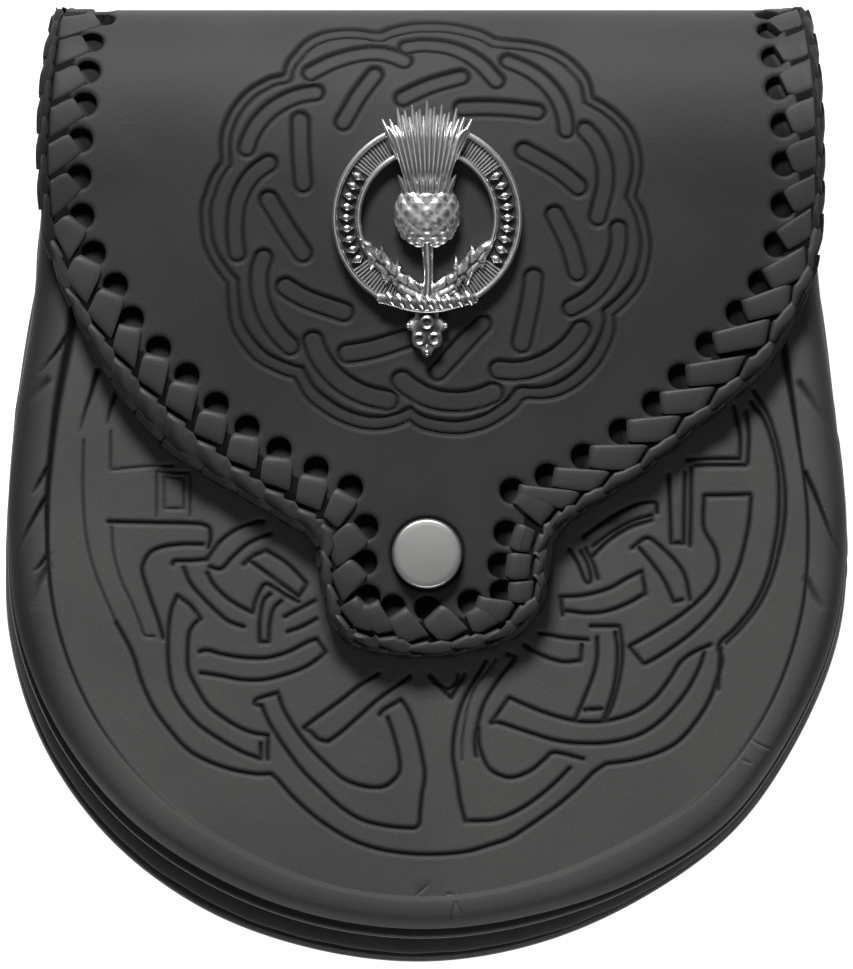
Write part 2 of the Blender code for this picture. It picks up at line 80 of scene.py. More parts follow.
def runOf(line):
    return np.concatenate(([0.0], np.cumsum(np.linalg.norm(np.diff(line, axis=0), axis=1))))


def tangents(line):
    along = np.gradient(line, axis=0)
    return along / np.linalg.norm(along, axis=1)[:, None]


def shifted(line, distance):
    # the line moved to the left of its direction
    along = tangents(line)
    return line + np.column_stack((-along[:, 1], along[:, 0])) * distance


def ease(low, high, value):
    # 0 at low and 1 at high, in either order
    t = np.clip((np.asarray(value, float) - low) / (high - low), 0, 1)
    return t * t * (3 - 2 * t)


def fromPhoto(points):
    p = np.array(points, float)
    return np.column_stack(((p[:, 0] - photo["middleX"]) * photo["pixel"],
                            (photo["middleY"] - p[:, 1]) * photo["pixel"]))


def crownAt(x, y):
    # the middle of the front stands above its corners
    halfX, halfY = body["crownHalf"]
    return body["crown"] * np.clip(1 - (x / halfX) ** 2, 0, 1) * np.clip(1 - (y / halfY) ** 2, 0, 1)


def fromCentre(angle, radius):
    # places at an angle and a distance from the pouch's centre
    return np.column_stack((radius * np.cos(angle), body["centreY"] + radius * np.sin(angle)))


def treeOf(points):
    # a search tree of flat points
    tree = kdtree.KDTree(len(points))
    for i, p in enumerate(points):
        tree.insert((p[0], p[1], 0.0), i)
    tree.balance()
    return tree


body = {
    "centreY": -8.0, "wall": 2.5, "gussetWall": 2.0, "crown": 3.0, "crownHalf": (88, 100),
    "mouthY": 72.0, "gussetTopY": 82.0, "rimWidth": 7.0, "rimTopY": 52.0, "step": 0.5,
}
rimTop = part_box("back_rim")[1].z / mm
weltLow, weltHigh = (corner.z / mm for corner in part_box("front_welt"))
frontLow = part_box("front_panel")[0].z / mm
# angle about the centre, and the radii of the back outline, the front's edge and its crease
sections = (
    (135, 114.0, 113.2, 101.5), (150, 95.9, 95.2, 86.0), (165, 90.0, 89.3, 81.0),
    (180, 88.7, 88.1, 79.8), (195, 91.4, 89.0, 80.5), (210, 93.7, 89.0, 80.8),
    (225, 94.6, 88.3, 80.3), (240, 94.2, 86.7, 79.2), (255, 93.1, 85.8, 78.9),
    (270, 92.6, 85.4, 78.7), (285, 91.8, 85.4, 78.4), (300, 91.3, 87.0, 79.0),
    (315, 91.7, 89.0, 81.0), (330, 90.5, 88.4, 81.4), (345, 90.0, 88.6, 80.8),
    (360, 88.5, 87.9, 79.8), (375, 89.1, 88.5, 80.0), (390, 95.7, 95.0, 85.4),
    (405, 113.4, 112.6, 101.0),
)
outlineColumn = {"back": 1, "edge": 2, "crease": 3}
topHalfWidth = {"back": 79.0, "edge": 78.4, "crease": 70.5}


def outline(kind, topY, step=1.0):
    # one outline of the pouch as a U, from its top left round the bottom to its top right
    half = topHalfWidth[kind]
    points = [(-half, topY)]
    for row in sections:
        angle = math.radians(row[0])
        radius = row[outlineColumn[kind]]
        x, y = radius * math.cos(angle), body["centreY"] + radius * math.sin(angle)
        if y < topY - 6:
            points.append((x, y))
    points.append((half, topY))
    return curveThrough(points, step)


def radiusTable(kind):
    line = outline(kind, 82.0, 0.8) - (0, body["centreY"])
    angle = np.unwrap(np.arctan2(line[:, 1], line[:, 0]))
    angle += 2 * math.pi if angle[0] < 0 else 0.0
    return angle, np.hypot(line[:, 0], line[:, 1])


edgeRadius, creaseRadius = radiusTable("edge"), radiusTable("crease")
# the moulded band: how far in from the front's edge, and its height
bandRise = ((0, frontLow), (0.12, 26.2), (0.3, 28.6), (0.6, 30.4), (1.1, 31.9), (2.0, 33.4), (3.0, 34.2),
            (4.4, 34.65), (5.8, 34.85), (7.2, 34.9), (8.2, 34.85), (8.8, 34.8))
bandCurve = curveThrough(bandRise, 0.1)
bandWidth = bandRise[-1][0]


def polar(points):
    # the share from the front's edge (0) to its crease (1), and past it towards the centre
    x, y = points[:, 0], points[:, 1] - body["centreY"]
    angle = np.arctan2(y, x)
    angle = np.where(angle < math.pi / 2, angle + 2 * math.pi, angle)
    angle = np.clip(angle, edgeRadius[0][0], edgeRadius[0][-1])
    r = np.hypot(x, y)
    rimRadius = np.interp(angle, *edgeRadius)
    foldRadius = np.interp(angle, *creaseRadius)
    return (rimRadius - r) / (rimRadius - foldRadius), rimRadius - foldRadius


def frontHeight(points):
    share, _ = polar(points)
    base = np.interp(share * bandWidth, bandCurve[:, 0], bandCurve[:, 1])
    field = bandCurve[-1, 1] - body["step"] * ease(1.0, 1.06, share)
    z = np.where(share > 1.0, field, base)
    return z + crownAt(points[:, 0], points[:, 1]) * ease(0.0, 0.05, share)


flapShape = {"sheet": 2.2, "underside": 36.2, "foldStart": 64.0, "foldTopY": 100.0,
             "foldMidZ": 17.0, "rearCurve": 11.0, "rearZ": 4.1, "rearEndY": 60.0, "foldRows": 60}


def foldLine():
    # the flap's outer face from the start of the fold, round the top, to its rear (y, z)
    s = flapShape
    top = s["underside"] + s["sheet"]
    a = np.linspace(0, math.pi / 2, s["foldRows"])
    front = np.column_stack((s["foldStart"] + (s["foldTopY"] - s["foldStart"]) * np.sin(a),
                             s["foldMidZ"] + (top - s["foldMidZ"]) * np.cos(a)))
    rear = s["foldTopY"] - s["rearCurve"]
    low = np.column_stack((rear + s["rearCurve"] * np.cos(a),
                           s["foldMidZ"] - (s["foldMidZ"] - s["rearZ"]) * np.sin(a)))
    end = np.column_stack((np.linspace(rear, s["rearEndY"], 20)[1:], np.full(19, s["rearZ"])))
    return np.vstack((front, low[1:], end))


fold = foldLine()
foldRun = flapShape["foldStart"] + runOf(fold)
foldNormal = np.column_stack((-tangents(fold)[:, 1], tangents(fold)[:, 0]))


def onFlap(x, v, lift):
    # where a place of the flat flap lies on the worn one, lifted off its outer face
    x, v, lift = (np.asarray(a, float) for a in (x, v, lift))
    flat = v <= flapShape["foldStart"]
    y = np.where(flat, v, np.interp(v, foldRun, fold[:, 0]))
    z = np.where(flat, fold[0, 1], np.interp(v, foldRun, fold[:, 1]))
    ny = np.where(flat, 0.0, np.interp(v, foldRun, foldNormal[:, 0]))
    nz = np.where(flat, 1.0, np.interp(v, foldRun, foldNormal[:, 1]))
    rise = np.where(flat | (z > flapShape["foldMidZ"]), crownAt(x, y), 0.0)
    return np.column_stack((x, y + ny * lift, z + nz * lift + rise))


def flatFromSeen(points):
    # a place seen from the front, as a place of the flat flap
    p = np.array(points, float)
    rows = flapShape["foldRows"]
    rising = np.interp(p[:, 1], fold[:rows, 0], foldRun[:rows])
    v = np.where(p[:, 1] > flapShape["foldStart"], rising, p[:, 1])
    return np.column_stack((p[:, 0], v))


def makeMesh(name, verts, faces, material, smoothAngle=60, masks=None):
    mesh = bpy.data.meshes.new(name)
    mesh.from_pydata([tuple(v * mm) for v in np.asarray(verts, float)], [], faces)
    mesh.update()
    for maskName, values in (masks or {}).items():
        layer = mesh.attributes.new(maskName, "FLOAT", "POINT")
        layer.data.foreach_set("value", np.asarray(values, np.float32))
    bm = bmesh.new()
    bm.from_mesh(mesh)
    bmesh.ops.recalc_face_normals(bm, faces=bm.faces)
    bm.to_mesh(mesh)
    bm.free()
    mesh.shade_smooth()
    mesh.set_sharp_from_angle(angle=math.radians(smoothAngle))
    piece = bpy.data.objects.new(name, mesh)
    bpy.context.scene.collection.objects.link(piece)
    mesh.materials.append(material)
    return piece


def finishPiece(piece, slot, *nodes):
    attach(piece, "root")
    if nodes:
        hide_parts(*nodes)
    print("made", piece.name, len(piece.data.polygons), "faces")
    return piece


def gridFaces(rows, columns, wrapped=False):
    # quads between closed rows of points; wrapped also joins the last row to the first
    return [(i * columns + k, i * columns + (k + 1) % columns,
             (i + 1) % rows * columns + (k + 1) % columns, (i + 1) % rows * columns + k)
            for i in range(rows if wrapped else rows - 1) for k in range(columns)]


class Heap:
    # collects many small closed bodies into one mesh
    def __init__(self):
        self.verts, self.faces, self.mask = [], [], []

    def addTube(self, rings, mask=0.0):
        rows, columns = len(rings), len(rings[0])
        last = (rows - 1) * columns
        ends = [tuple(range(columns)), tuple(last + k for k in reversed(range(columns)))]
        self.addMesh(np.vstack(rings), gridFaces(rows, columns) + ends, mask)

    def addMesh(self, verts, faces, mask=0.0):
        first = sum(len(v) for v in self.verts)
        self.verts.append(np.asarray(verts, float))
        self.faces += [tuple(first + i for i in face) for face in faces]
        self.mask.append(np.full(len(verts), mask) if np.isscalar(mask) else np.asarray(mask))

    def build(self, name, material, smoothAngle=60, maskName=None):
        masks = {maskName: np.concatenate(self.mask)} if maskName else None
        return makeMesh(name, np.vstack(self.verts), self.faces, material, smoothAngle, masks)


def insideLoop(points, loop):
    # which points lie inside a closed loop
    x, y = points[:, 0], points[:, 1]
    inside = np.zeros(len(points), bool)
    for (x1, y1), (x2, y2) in zip(loop, np.roll(loop, -1, axis=0)):
        if y1 == y2:
            continue
        crosses = (y1 > y) != (y2 > y)
        inside ^= crosses & (x < (x2 - x1) * (y - y1) / (y2 - y1) + x1)
    return inside


class PointSet:
    # points that keep a least distance from each other
    def __init__(self):
        self.points, self.cells = [], {}

    def near(self, x, y, gap):
        i, j = int(x // 0.5), int(y // 0.5)
        reach = int(gap // 0.5) + 1
        for a in range(i - reach, i + reach + 1):
            for b in range(j - reach, j + reach + 1):
                for px, py in self.cells.get((a, b), ()):
                    if (px - x) ** 2 + (py - y) ** 2 < gap * gap:
                        return True
        return False

    def add(self, points, gap):
        for x, y in points:
            if gap and self.near(x, y, gap):
                continue
            self.points.append((x, y))
            self.cells.setdefault((int(x // 0.5), int(y // 0.5)), []).append((x, y))


def fillerPoints(low, high, step):
    # a staggered, slightly uneven grid
    made = []
    rows = int((high[1] - low[1]) / (step * 0.87)) + 1
    for i in range(rows):
        for k in range(int((high[0] - low[0]) / step) + 1):
            x = low[0] + step * (k + 0.5 * (i % 2)) + dice.uniform(-0.12, 0.12) * step
            made.append((x, low[1] + i * step * 0.87 + dice.uniform(-0.12, 0.12) * step))
    return made


pointGaps = {"line": 0.24, "lineEnd": 0.28, "extra": 0.3, "leastTriangle": 0.0002}


def triangulate(loops, lines, step, clear, extra=(), extraGap=pointGaps["extra"]):
    # triangles inside the first loop and outside the others, dense along the lines
    points = PointSet()
    edges = []
    for loop in loops:
        first = len(points.points)
        points.add(loop, 0)
        count = len(loop)
        edges += [(first + k, first + (k + 1) % count) for k in range(count)]
    onLoops = len(points.points)
    for line, offsets in lines:
        for offset in offsets:
            row = shifted(line, offset) if offset else line
            points.add(row, pointGaps["line"])
            if offset > 0 and np.linalg.norm(line[0] - line[-1]) > 0.5:
                sides = int(offset * 2 * math.pi / 0.4)
                for end in (line[0], line[-1]):
                    points.add(ring(end, offset, sides), pointGaps["lineEnd"])
    points.add(extra, extraGap)
    low, high = np.min(loops[0], axis=0), np.max(loops[0], axis=0)
    points.add(fillerPoints(low, high, step), clear)
    placed = np.array(points.points)
    mask = insideLoop(placed, loops[0])
    for loop in loops[1:]:
        mask &= ~insideLoop(placed, loop)
    mask[:onLoops] = True
    placed = placed[mask]
    made = delaunay_2d_cdt([Vector(p) for p in placed], edges, [], 0, 1e-5, False)
    flat = np.array([tuple(v) for v in made[0]])
    faces = np.array(made[2])
    middles = flat[faces].mean(axis=1)
    good = insideLoop(middles, loops[0])
    for loop in loops[1:]:
        good &= ~insideLoop(middles, loop)
    a, b, c = (flat[faces[:, k]] for k in range(3))
    size = np.abs((b[:, 0] - a[:, 0]) * (c[:, 1] - a[:, 1]) - (b[:, 1] - a[:, 1]) * (c[:, 0] - a[:, 0]))
    good &= size > pointGaps["leastTriangle"]    # no slivers outside a straight stretch of a loop
    return flat, faces[good]


def nearestOn(points, lines):
    # distance from each point to the nearest of the lines, and the share of that line run through
    dense = [curveThrough(line, 0.12) for line in lines]
    shares = np.concatenate([np.linspace(0, 1, len(line)) for line in dense])
    dense = np.vstack(dense)
    tree = treeOf(dense)
    found = [tree.find((x, y, 0.0)) for x, y in points]
    return np.array([f[2] for f in found]), shares[[f[1] for f in found]]


def distanceTo(points, lines):
    return nearestOn(points, lines)[0]


def grooveDepth(distance, width, depth, lip):
    # a pressed line: round bottom, with a slight lip on each side
    groove = -depth * (1 - ease(0.0, 1.0, distance / width))
    return groove + lip * np.exp(-(((distance - 1.4 * width) / (0.45 * width)) ** 2))


def newGroup(name, inputs, outputs):
    tree = bpy.data.node_groups.new(name, "ShaderNodeTree")
    for label, kind, value in inputs:
        socket = tree.interface.new_socket(label, in_out="INPUT", socket_type=kind)
        socket.default_value = value
    for label, kind in outputs:
        tree.interface.new_socket(label, in_out="OUTPUT", socket_type=kind)
    return tree, tree.nodes.new("NodeGroupInput"), tree.nodes.new("NodeGroupOutput")


def feed(tree, node, values):
    # links or sets each named input
    for key, value in values.items():
        if isinstance(value, bpy.types.NodeSocket):
            tree.links.new(value, node.inputs[key])
        else:
            node.inputs[key].default_value = value


def addNode(tree, kind, values=None, **settings):
    node = tree.nodes.new(kind)
    for key, value in settings.items():
        setattr(node, key, value)
    feed(tree, node, values or {})
    return node


def maths(tree, operation, a, b=0.0, c=0.0, clamp=False):
    return addNode(tree, "ShaderNodeMath", {0: a, 1: b, 2: c}, operation=operation,
                   use_clamp=clamp).outputs[0]


def ramp(tree, value, low, high):
    return addNode(tree, "ShaderNodeMapRange", {"Value": value, "From Min": low, "From Max": high},
                   interpolation_type="SMOOTHSTEP").outputs[0]


def blendColour(tree, share, a, b):
    node = addNode(tree, "ShaderNodeMix", data_type="RGBA")
    a, b = ((*value, 1.0) if isinstance(value, tuple) else value for value in (a, b))
    feed(tree, node, {0: share, 6: a, 7: b})
    return node.outputs[2]


def noiseAt(tree, place, scale, detail=3.0, roughness=0.5, distortion=0.0):
    return addNode(tree, "ShaderNodeTexNoise", {"Vector": place, "Scale": scale, "Detail": detail,
                   "Roughness": roughness, "Distortion": distortion}).outputs["Fac"]


def objectPlace(tree):
    return addNode(tree, "ShaderNodeTexCoord").outputs["Object"]


def inkPatinaAndShadeMask(tree):
    # the 'pressed' attribute: ink in tooled lines, patina in cast recesses, and painted shade in holes,
    # creases, recesses and under the laces
    return addNode(tree, "ShaderNodeAttribute", attribute_name="pressed").outputs["Fac"]


def bumpFrom(tree, height, strength, depth):
    return addNode(tree, "ShaderNodeBump", {"Height": height, "Strength": strength,
                   "Distance": depth}).outputs["Normal"]


grainLook = {"warpScale": 420.0, "warpReach": 0.0011, "creaseWidth": 0.28, "fineScale": 3200.0,
             "poreScale": 640.0, "poreFrom": 0.03, "poreTo": 0.16, "softScale": 260.0,
             "pebbleShare": 0.45, "fineShare": 0.55, "softShare": 1.1}


def hideGrainGroup():
    # fine creased grain with pores: height for bump, and a mask of the grain's valleys
    tree, given, out = newGroup(
        "hideGrain", (("Grain Size", "NodeSocketFloat", 0.9), ("Pores", "NodeSocketFloat", 0.4)),
        (("Height", "NodeSocketFloat"), ("Valleys", "NodeSocketFloat")))
    look = grainLook
    place = objectPlace(tree)
    warp = addNode(tree, "ShaderNodeTexNoise", {"Vector": place, "Scale": look["warpScale"], "Detail": 2.0})
    push = addNode(tree, "ShaderNodeVectorMath", {0: warp.outputs["Color"], 3: look["warpReach"]},
                   operation="SCALE")
    moved = addNode(tree, "ShaderNodeVectorMath", {0: place, 1: push.outputs[0]}).outputs[0]
    scale = maths(tree, "DIVIDE", 1000.0, given.outputs["Grain Size"])
    cells = addNode(tree, "ShaderNodeTexVoronoi", {"Vector": moved, "Scale": scale},
                    feature="DISTANCE_TO_EDGE").outputs["Distance"]
    pebble = ramp(tree, cells, 0.0, look["creaseWidth"])
    fine = noiseAt(tree, place, look["fineScale"], 4.0, 0.6)
    pores = addNode(tree, "ShaderNodeTexVoronoi", {"Vector": moved, "Scale": look["poreScale"]})
    away = ramp(tree, pores.outputs["Distance"], look["poreFrom"], look["poreTo"])
    pits = maths(tree, "MULTIPLY", maths(tree, "SUBTRACT", 1.0, away), given.outputs["Pores"])
    soft = noiseAt(tree, place, look["softScale"], 3.0, 0.55)
    fine = maths(tree, "MULTIPLY", fine, look["fineShare"])
    sums = maths(tree, "MULTIPLY_ADD", pebble, look["pebbleShare"], fine)
    sums = maths(tree, "MULTIPLY_ADD", soft, look["softShare"], sums)
    feed(tree, out, {"Height": maths(tree, "SUBTRACT", sums, pits),
                     "Valleys": maths(tree, "SUBTRACT", 1.0, pebble)})
    return tree


handlingLook = {"broadScale": 22.0, "streakScale": (60.0, 900.0, 300.0), "streakTurn": 0.5,
                "spotScale": 45.0, "patchScale": 160.0}


def handlingGroup():
    # broad uneven polish, faint scuffs and rubbed high edges
    tree, given, out = newGroup(
        "handling", (("Scuffs", "NodeSocketFloat", 0.5), ("Rubbing", "NodeSocketFloat", 0.5)),
        (("Polish", "NodeSocketFloat"), ("Scuff", "NodeSocketFloat"), ("Rubbed", "NodeSocketFloat")))
    look = handlingLook
    place = objectPlace(tree)
    broad = noiseAt(tree, place, look["broadScale"], 4.0, 0.55, 0.4)
    stretch = addNode(tree, "ShaderNodeMapping", {"Vector": place, "Scale": look["streakScale"],
                      "Rotation": (0.0, 0.0, look["streakTurn"])})
    streaks = noiseAt(tree, stretch.outputs[0], 1.0, 4.0, 0.7, 0.6)
    spots = ramp(tree, noiseAt(tree, place, look["spotScale"], 2.0), 0.52, 0.72)
    scuff = maths(tree, "MULTIPLY", ramp(tree, streaks, 0.6, 0.78), spots)
    edges = ramp(tree, addNode(tree, "ShaderNodeNewGeometry").outputs["Pointiness"], 0.51, 0.6)
    patchy = ramp(tree, noiseAt(tree, place, look["patchScale"], 3.0), 0.3, 0.7)
    rubbed = maths(tree, "MULTIPLY", maths(tree, "MULTIPLY", edges, patchy), given.outputs["Rubbing"])
    scuff = maths(tree, "MULTIPLY", scuff, given.outputs["Scuffs"])
    feed(tree, out, {"Polish": broad, "Scuff": scuff, "Rubbed": rubbed})
    return tree


hideGrain = hideGrainGroup()
handling = handlingGroup()


def newMaterial(name):
    material = bpy.data.materials.new(name)
    material.use_nodes = True
    tree = material.node_tree
    return material, tree, tree.nodes["Principled BSDF"]


def useGroup(tree, group, values):
    node = addNode(tree, "ShaderNodeGroup", node_tree=group)
    feed(tree, node, values)
    return node.outputs


def leather(name, look):
    # black hide, darker where its mask marks inked tooled lines and painted shade, scuffed and rubbed on its
    # high edges
    material, tree, shader = newMaterial(name)
    grain = useGroup(tree, hideGrain, {"Grain Size": look["grainSize"], "Pores": look["pores"]})
    worn = useGroup(tree, handling, {"Scuffs": look["scuffs"], "Rubbing": look["rubbing"]})
    # the mask holds ink and painted shade; the hide is blended towards its deep colour by it
    pressed = inkPatinaAndShadeMask(tree)
    hide = blendColour(tree, ramp(tree, worn["Polish"], 0.3, 0.7), look["dark"], look["light"])
    for share in (maths(tree, "MULTIPLY", grain["Valleys"], look["valleys"]),
                  maths(tree, "MULTIPLY", pressed, look["inkAndShade"])):
        hide = blendColour(tree, share, hide, look["deep"])
    bare = maths(tree, "SUBTRACT", 1.0, pressed, clamp=True)
    wear = maths(tree, "MULTIPLY", maths(tree, "MAXIMUM", worn["Scuff"], worn["Rubbed"]), bare)
    rough = maths(tree, "MULTIPLY_ADD", worn["Polish"], look["roughSwing"],
                  look["roughness"] - look["roughSwing"] / 2)
    rough = maths(tree, "MULTIPLY_ADD", worn["Scuff"], look["scuffRough"], rough)
    rough = maths(tree, "MULTIPLY_ADD", pressed, look["pressedRough"], rough, clamp=True)
    feed(tree, shader, {
        "Base Color": blendColour(tree, wear, hide, look["rubbed"]), "Roughness": rough,
        "Normal": bumpFrom(tree, grain["Height"], look["bump"], look["bumpDepth"]),
        "Specular IOR Level": look["specular"], "Sheen Weight": look["sheen"], "Sheen Roughness": 0.5})
    return material


leatherLook = {
    "grainSize": 0.85, "pores": 0.35, "scuffs": 0.25, "rubbing": 0.04, "valleys": 0.1,
    "dark": (0.021, 0.021, 0.0205), "light": (0.028, 0.028, 0.0275), "deep": (0.004, 0.004, 0.004),
    "rubbed": (0.11, 0.11, 0.11), "inkAndShade": 0.92, "roughness": 0.44, "roughSwing": 0.12,
    "pressedRough": 0.3, "scuffRough": 0.2, "bump": 0.2, "bumpDepth": 0.00012, "specular": 0.5,
    "sheen": 0.04,
}
flapLeather = leather("flapLeather", leatherLook | {
    "dark": (0.0225, 0.0225, 0.022), "light": (0.0302, 0.0302, 0.0297), "roughness": 0.6, "specular": 0.12,
    "scuffs": 0.1, "inkAndShade": 0.97, "deep": (0.002, 0.002, 0.002)})
frontLeather = leather("frontLeather", leatherLook | {
    "dark": (0.052, 0.052, 0.0505), "light": (0.0635, 0.0635, 0.0615), "roughness": 0.6, "specular": 0.12,
    "sheen": 0.0, "inkAndShade": 0.96, "deep": (0.0022, 0.0022, 0.0022)})
# the body's hide is painted much darker than the front's and the flap's: painted shade for the gusset's sides
shadedBodyLeather = leather("shadedBodyLeather", leatherLook | {
    "dark": (0.0095, 0.0095, 0.0095), "light": (0.014, 0.014, 0.014), "roughness": 0.6, "specular": 0.05,
    "sheen": 0.0, "grainSize": 1.1, "bump": 0.4, "rubbing": 0.15})
edgeLeather = leather("edgeLeather", leatherLook | {
    "dark": (0.016, 0.016, 0.016), "light": (0.024, 0.024, 0.024), "roughness": 0.4, "bump": 0.2,
    "rubbing": 0.25, "specular": 0.25})
laceLeather = leather("laceLeather", leatherLook | {
    "dark": (0.034, 0.034, 0.033), "light": (0.047, 0.047, 0.046), "roughness": 0.46, "bump": 0.25,
    "grainSize": 0.6, "rubbing": 0.1, "specular": 0.15,
    "inkAndShade": 0.97, "deep": (0.002, 0.002, 0.002)})


# the round knot, in the photograph's pixels: its rim's scallops one after another, clockwise from the
# top, then its bands and rods, each half its width and its middle line
knotScallops = (
    ((381, 31), (395, 25.5), (415, 21.7), (432, 21.3), (447, 21.7), (465, 25), (482, 30), (495, 37)),
    ((495, 37), (508, 39), (522, 40.3), (535, 42.5), (548, 46), (560, 51.7), (570, 58.3), (578, 66),
     (585, 74), (589, 82), (591, 90), (592.5, 98)),
    ((592.5, 98), (605, 105), (615, 112.5), (623, 120), (630, 128.3), (635, 138.3), (638.5, 148.5),
     (640.5, 158.5), (641, 168), (640, 178), (637.5, 188), (635, 198)),
    ((635, 198), (639, 206), (643, 214), (646.5, 225), (649, 237), (650, 248), (649, 258), (647, 268),
     (644, 279), (638, 290), (629, 301), (620, 310), (613, 316)),
    ((613, 316), (614, 330), (609, 346), (600, 363), (588, 377), (573, 389), (557, 396.5), (541, 399),
     (528, 398.5), (522, 401)),
    ((522, 401), (514, 410.5), (501, 420), (486, 428), (465, 433.5), (445, 433.5), (426, 430), (416, 425.5),
     (410, 420.5)),
    ((410, 420.5), (400, 425), (390, 428), (378, 429.7), (365, 429), (352, 426), (337, 420), (324, 412),
     (312, 403), (304, 394), (298.5, 384), (295, 378)),
    ((295, 378), (285, 375.5), (272, 370), (260.5, 364), (251, 356), (241.5, 344), (235, 333), (231.5, 323),
     (230, 311), (229, 298), (228.5, 285)),
    ((228.5, 285), (220.5, 275), (212.5, 263), (208, 254), (204.5, 244), (202.8, 231), (202, 215),
     (203.3, 203), (206, 196), (208.3, 188), (212.5, 178), (218.3, 168.5), (222, 164)),
    ((222, 164), (222, 155), (221.7, 143), (223.3, 132), (226.7, 122), (231, 112.5), (237, 103.3),
     (243.3, 96), (252, 88.3), (262, 82.5), (270, 78.3), (281.5, 75.5), (285, 73)),
    ((285, 73), (286, 68), (289, 60), (295, 52.5), (302, 44), (310, 37.5), (318, 33.5), (328, 30.3),
     (345, 28.3), (362, 29), (372, 30.8), (381, 31)),
)
knotRimWidth = {"top": 9.0, "foot": 12.5}
knotShapes = {
    "bandTop": (7.5, ((407, 46.5), (420, 44.5), (432, 44.7), (446, 46.5), (460, 51), (472, 57.5), (483, 66),
        (491, 75), (496.5, 81))),
    "bandRight1": (7.3, ((508, 61), (520, 66), (532, 72.5), (542, 80), (551, 89.5), (557.5, 99), (562, 109),
        (565, 120), (566, 131))),
    "bandRight2": (8.0, ((585, 131), (594, 141), (601, 154), (604.5, 167), (605.5, 180), (604, 193),
        (600.5, 206), (597.5, 218))),
    "bandRight3": (7.8, ((618, 230), (618.5, 243), (616, 257), (611, 270), (604.5, 282), (596, 292),
        (586, 300.5), (571, 309))),
    "bandRight4": (9.0, ((581, 331), (575, 340), (566, 349.5), (555, 358), (543, 364.5), (529, 369.5),
        (514, 371.5), (499, 370.5))),
    "bandFoot1": (9.6, ((402, 381.5), (411, 388.5), (424, 396), (438, 400.5), (452, 402), (467, 401.5),
        (480, 398.5), (493, 393.5))),
    "bandFoot2": (9.4, ((313.5, 342), (317, 352), (323, 363), (331, 373), (341, 382.5), (354, 390.5),
        (368, 396.5), (388, 401))),
    "bandLeft5": (8.2, ((264, 259), (260.5, 270), (259.3, 282), (260.3, 295), (263.5, 308), (269, 321),
        (276, 332), (284, 341), (290.5, 347))),
    "bandLeft4": (7.8, ((269, 164.5), (258.5, 171.5), (249.5, 181), (242.5, 193), (238, 205), (236, 218),
        (235.5, 231), (236, 243), (237.5, 254))),
    "bandLeft3": (7.6, ((247, 149), (250.5, 139), (255.5, 129), (262.5, 119.5), (271, 111), (281, 104),
        (292, 98.5), (304, 94.8), (316, 93))),
    "bandLeft2": (7.8, ((311, 73), (320, 68), (332, 62), (345, 57.5), (358, 54.3), (371, 52.7), (384, 53.5),
        (396, 57), (404, 60.5))),
    "rodTop": (7.5, ((403, 99), (416, 92.5), (430, 86.3), (445, 81.5), (461, 77.3))),
    "rodRight1": (7.3, ((462, 109), (480, 108.3), (498, 108.7), (516, 110), (537, 112.7))),
    "rodRight2": (8.0, ((524, 152), (536, 158.5), (549, 166), (562, 174.5), (578, 188))),
    "rodRight3": (8.4, ((554.5, 216), (560, 227), (566, 239), (571, 251), (577, 273))),
    "rodRight4": (8.9, ((533.5, 279), (532.5, 290), (530.5, 303), (527.5, 317), (521.5, 344))),
    "rodFoot1": (8.5, ((482, 325), (474, 333), (465, 343), (455, 354), (438, 372))),
    "rodFoot2": (9.0, ((348, 354), (358, 352.8), (372, 350), (386, 346), (412, 337))),
    "rodLeft5": (8.8, ((286, 288), (297, 295), (310, 301.3), (323, 306), (344, 313))),
    "rodLeft4": (8.5, ((269, 201), (275, 211), (282, 222.5), (289, 233.5), (303, 254))),
    "rodLeft3": (8.3, ((300.5, 121.5), (300.7, 135), (301, 150), (302, 165), (303.5, 184.5))),
    "rodLeft2": (7.7, ((375, 75), (366.5, 86), (358, 98), (350.5, 111), (343.5, 123))),
}


def roundEnded(middle, halfWidth):
    # the closed outline of a band about its middle line
    left, right = shifted(middle, halfWidth), shifted(middle, -halfWidth)
    along = tangents(middle)
    turns = np.linspace(0, math.pi, 11)[1:-1]
    caps = []
    for at, way in ((middle[-1], along[-1]), (middle[0], -along[0])):
        across = np.array((-way[1], way[0]))
        caps.append(np.array([at + halfWidth * (across * math.cos(a) + way * math.sin(a)) for a in turns]))
    return np.vstack((left, caps[0], right[::-1], caps[1]))


def roundKnotShapes():
    # the rim's two edges scallop by scallop, and the closed outlines of the bands and rods
    middle = np.mean(np.vstack(knotScallops), axis=0)
    outer, inner = [], []
    for scallop in knotScallops:
        p = np.array(scallop, float)
        away = p - middle
        far = np.linalg.norm(away, axis=1)
        lowness = ease(0.0, 0.8, away[:, 1] / far)
        width = knotRimWidth["top"] + (knotRimWidth["foot"] - knotRimWidth["top"]) * lowness
        nearer = middle + away * (1 - width / far)[:, None]
        outer.append(curveThrough(flatFromSeen(fromPhoto(p)), 0.5))
        inner.append(curveThrough(flatFromSeen(fromPhoto(nearer)), 0.5))
    shapes = []
    for halfWidth, line in knotShapes.values():
        flat = curveThrough(flatFromSeen(fromPhoto(line)), 0.5)
        shapes.append(roundEnded(flat, halfWidth * photo["pixel"]))
    return outer, inner, shapes


